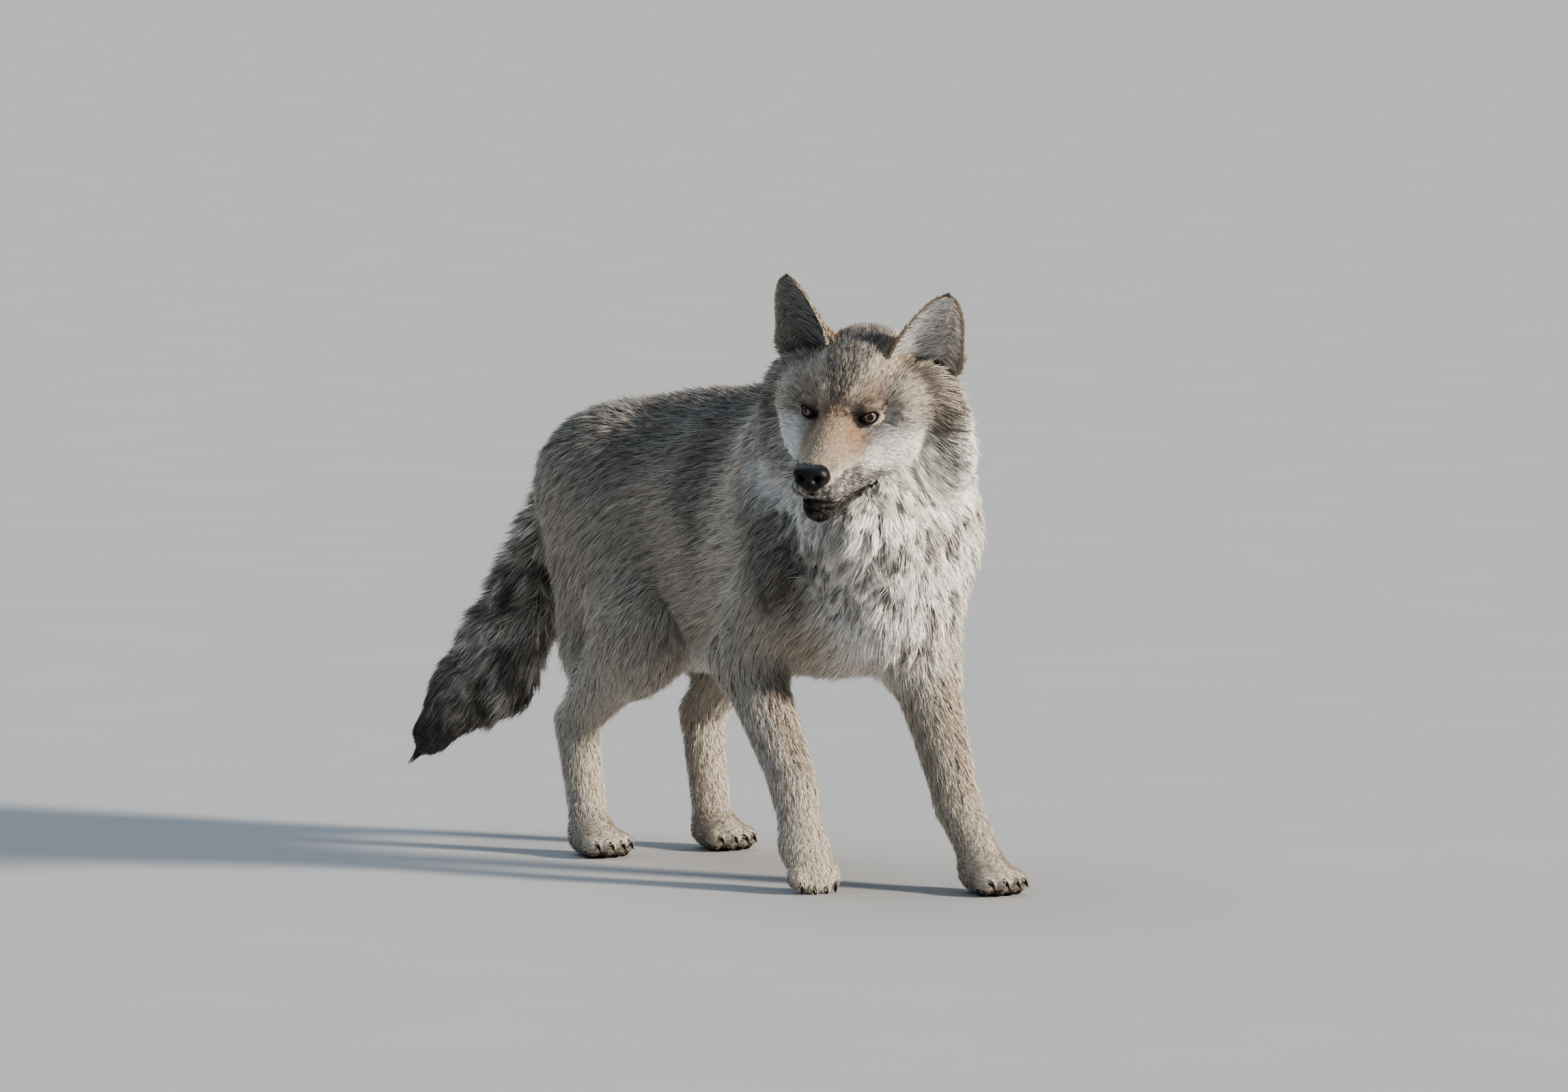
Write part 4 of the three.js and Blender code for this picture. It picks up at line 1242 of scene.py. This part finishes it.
for s in SIDES:
    middle, out, outer, up = eye_frame(s)
    eye_mesh, turn, around = ball(f"eyeball_{SIDES[s]}", EYE_TURNS, EYE_STEPS)
    bulge = EYE_RADIUS - 0.3 + 0.6 * over(turn, IRIS_EDGE * 1.15, 0)
    flat = np.sin(turn)[:, None] * (np.cos(around)[:, None] * outer + np.sin(around)[:, None] * up)
    set_points(eye_mesh, metres(middle + bulge[:, None] * (flat + np.cos(turn)[:, None] * out)))
    if s < 0:
        eye_mesh.flip_normals()
    tint(eye_mesh, eye_tint(turn, around))
    wet = {"Roughness": 0.06, "Coat_Weight": 0.6, "Coat_Roughness": 0.02}
    finish = tinted_material(f"eye_{SIDES[s]}", 0.2, 900.0, 2.0, **wet)
    piece(eye_mesh.name, eye_mesh, finish, "eye", f"eye_{SIDES[s]}")

# --- Nose ---
# A pad of bare black leather over the tip of the muzzle, pebbled, moist, with two comma-shaped
# nostrils and a groove down its middle.

NOSE_AT = (107.5, 0, -46)
NOSE_HALF = np.array((16.5, 24.5, 18.5))
NOSE_TURNS, NOSE_STEPS = 96, 64


def leather_material(name, scale, roughness):
    material, shader, node, join = new_material(name)
    pebbles = node("TexVoronoi", Scale=scale)
    shades = two_shades(node, (0.006, 0.0055, 0.006), (0.015, 0.0135, 0.0145))
    bump = node("Bump", Strength=0.35, Distance=0.0005)
    join(node("TexCoord"), "Object", pebbles, "Vector")
    join(pebbles, "Distance", shades, "Fac")
    join(shades, "Color", shader, "Base Color")
    join(pebbles, "Distance", bump, "Height")
    join(bump, "Normal", shader, "Normal")
    set_up(shader, Roughness=roughness, Specular_IOR_Level=0.3)
    return material


nose_mesh, turn, around = ball("nose_pad", NOSE_TURNS, NOSE_STEPS)
way = np.stack([np.cos(turn), np.sin(turn) * np.cos(around), np.sin(turn) * np.sin(around)], 1)
pad = np.sign(way) * np.abs(way) ** 0.82 * NOSE_HALF
front = over(pad[:, 0], -2, 8)
side = np.abs(pad[:, 1])
pad[:, 1] *= 1 - 0.42 * over(-pad[:, 2], 0, 18)
nostril = np.exp(-(((side - 11) / 5.4) ** 2) - ((pad[:, 2] - 3.5 + 0.1 * side) / 5.2) ** 2)
comma = np.exp(-(((side - 19) / 7) ** 2) - ((pad[:, 2] + 0.5) / 2.6) ** 2)
groove = np.exp(-((side / 1.5) ** 2)) * over(-pad[:, 2], -4, 6)
pad[:, 0] -= front * (11.0 * nostril + 2.0 * groove)
pad[:, 1] -= np.sign(pad[:, 1]) * 4.0 * comma * over(pad[:, 0], -6, 4)
pad[:, 0] += 1.6 * front * np.exp(-(((side - 9) / 6) ** 2) - ((pad[:, 2] - 7) / 5) ** 2)
set_points(nose_mesh, metres((pad + NOSE_AT) @ HEAD_TURN.T + HEAD_AT))
piece("nose_pad", nose_mesh, leather_material("nose_leather", 900.0, 0.4), "nose_leather", "nose")

# --- Claws and pads ---
# Four blunt dark claws of horn on each foot, curving down from the toes, and under the foot five
# pads of rough black leather that lie flat on the ground.

CLAW_RINGS, CLAW_SIDES = 7, 10
HEEL_PAD = ((12, 0, -15), (20, 18, 9))
TOE_PAD = (12, 7.5, 9)


def rod(shape, rings):
    """Adds a closed rod through rings of points."""
    rings = [[shape.verts.new(metres(q)) for q in ring] for ring in rings]
    for near, far in zip(rings, rings[1:]):
        for step in range(len(near)):
            shape.faces.new((near[step - 1], near[step], far[step], far[step - 1]))
    shape.faces.new(rings[0])
    shape.faces.new(rings[-1])


claws, pads = bmesh.new(), bmesh.new()
for origin, turn, toes in feet:
    for toe in toes:
        rings = []
        for t in np.linspace(0, 1, CLAW_RINGS):
            middle = np.array(toe) + (11 + 15 * t, 0, 3 - 9 * t * t)
            radius = 4.0 * (1 - t) ** 0.6 + 0.7
            a = np.arange(CLAW_SIDES) * math.tau / CLAW_SIDES
            ring = np.stack([0.5 * t * np.sin(a), 0.8 * radius * np.cos(a), radius * np.sin(a)], 1)
            ring = (ring + middle) @ turn.T + origin
            ring[:, 2] = np.maximum(ring[:, 2], 0.4)
            rings.append(ring)
        rod(claws, rings)
    for middle, half in (HEEL_PAD, *(((x - 1, y, -15), TOE_PAD) for x, y, _ in toes)):
        made = bmesh.ops.create_uvsphere(pads, u_segments=24, v_segments=14, radius=1.0)
        for vert in made["verts"]:
            q = turn @ (np.array(vert.co) * half + middle) + origin
            q[2] = max(q[2], 0.0)
            vert.co = metres(q)
for name, shape, finish in (("claws", claws, (260.0, 0.34)), ("pads", pads, (700.0, 0.6))):
    bmesh.ops.recalc_face_normals(shape, faces=shape.faces)
    piece(name, finished(name, shape), leather_material(name, *finish), "nose_leather")

# --- Whiskers ---
# Stiff dark hairs in rows on the upper lip and a few over the eyes, each a thin tapering rod.

random = np.random.default_rng(31)
whiskers = bmesh.new()
roots = []
for s in SIDES:
    for row in range(4):
        for place in range(5):
            roots.append((84 - 9 * place - 2 * row, s * 30, -50 - 5 * row, 26 + 7 * place, s))
    for place in range(3):
        roots.append((4, s * (26 + 4 * place), 26, 24 + 4 * place, s))
starts = np.array([on_head(x, y, z) for x, y, z, _, _ in roots])
starts = draw_in(starts, 6)
for start, (x, _, z, length, s) in zip(starts, roots):
    brow = z > 0
    way = HEAD_TURN @ unit(np.array((0.5, s * 0.4, 0.9) if brow else (0.05, s * 1.0, -0.25)))
    sweep = HEAD_TURN @ unit(np.array((-1.0, s * 0.2, -0.1)))
    way = unit(way + 0.12 * random.normal(size=3))
    rings = []
    for k in range(6):
        t = k / 5
        middle = start + length * (t * way + 0.45 * t * t * sweep)
        radius = 0.3 * (1 - t) + 0.05
        one = unit(np.cross(way, (0.3, 0.2, 1.0)))
        two = np.cross(way, one)
        corners = (0.0, math.tau / 3, 2 * math.tau / 3)
        rings.append([middle + radius * (math.cos(a) * one + math.sin(a) * two) for a in corners])
    rod(whiskers, rings)
bmesh.ops.recalc_face_normals(whiskers, faces=whiskers.faces)
horn = leather_material("whisker", 300.0, 0.4)
piece("whiskers", finished("whiskers", whiskers), horn, "fur_face", smooth=False)
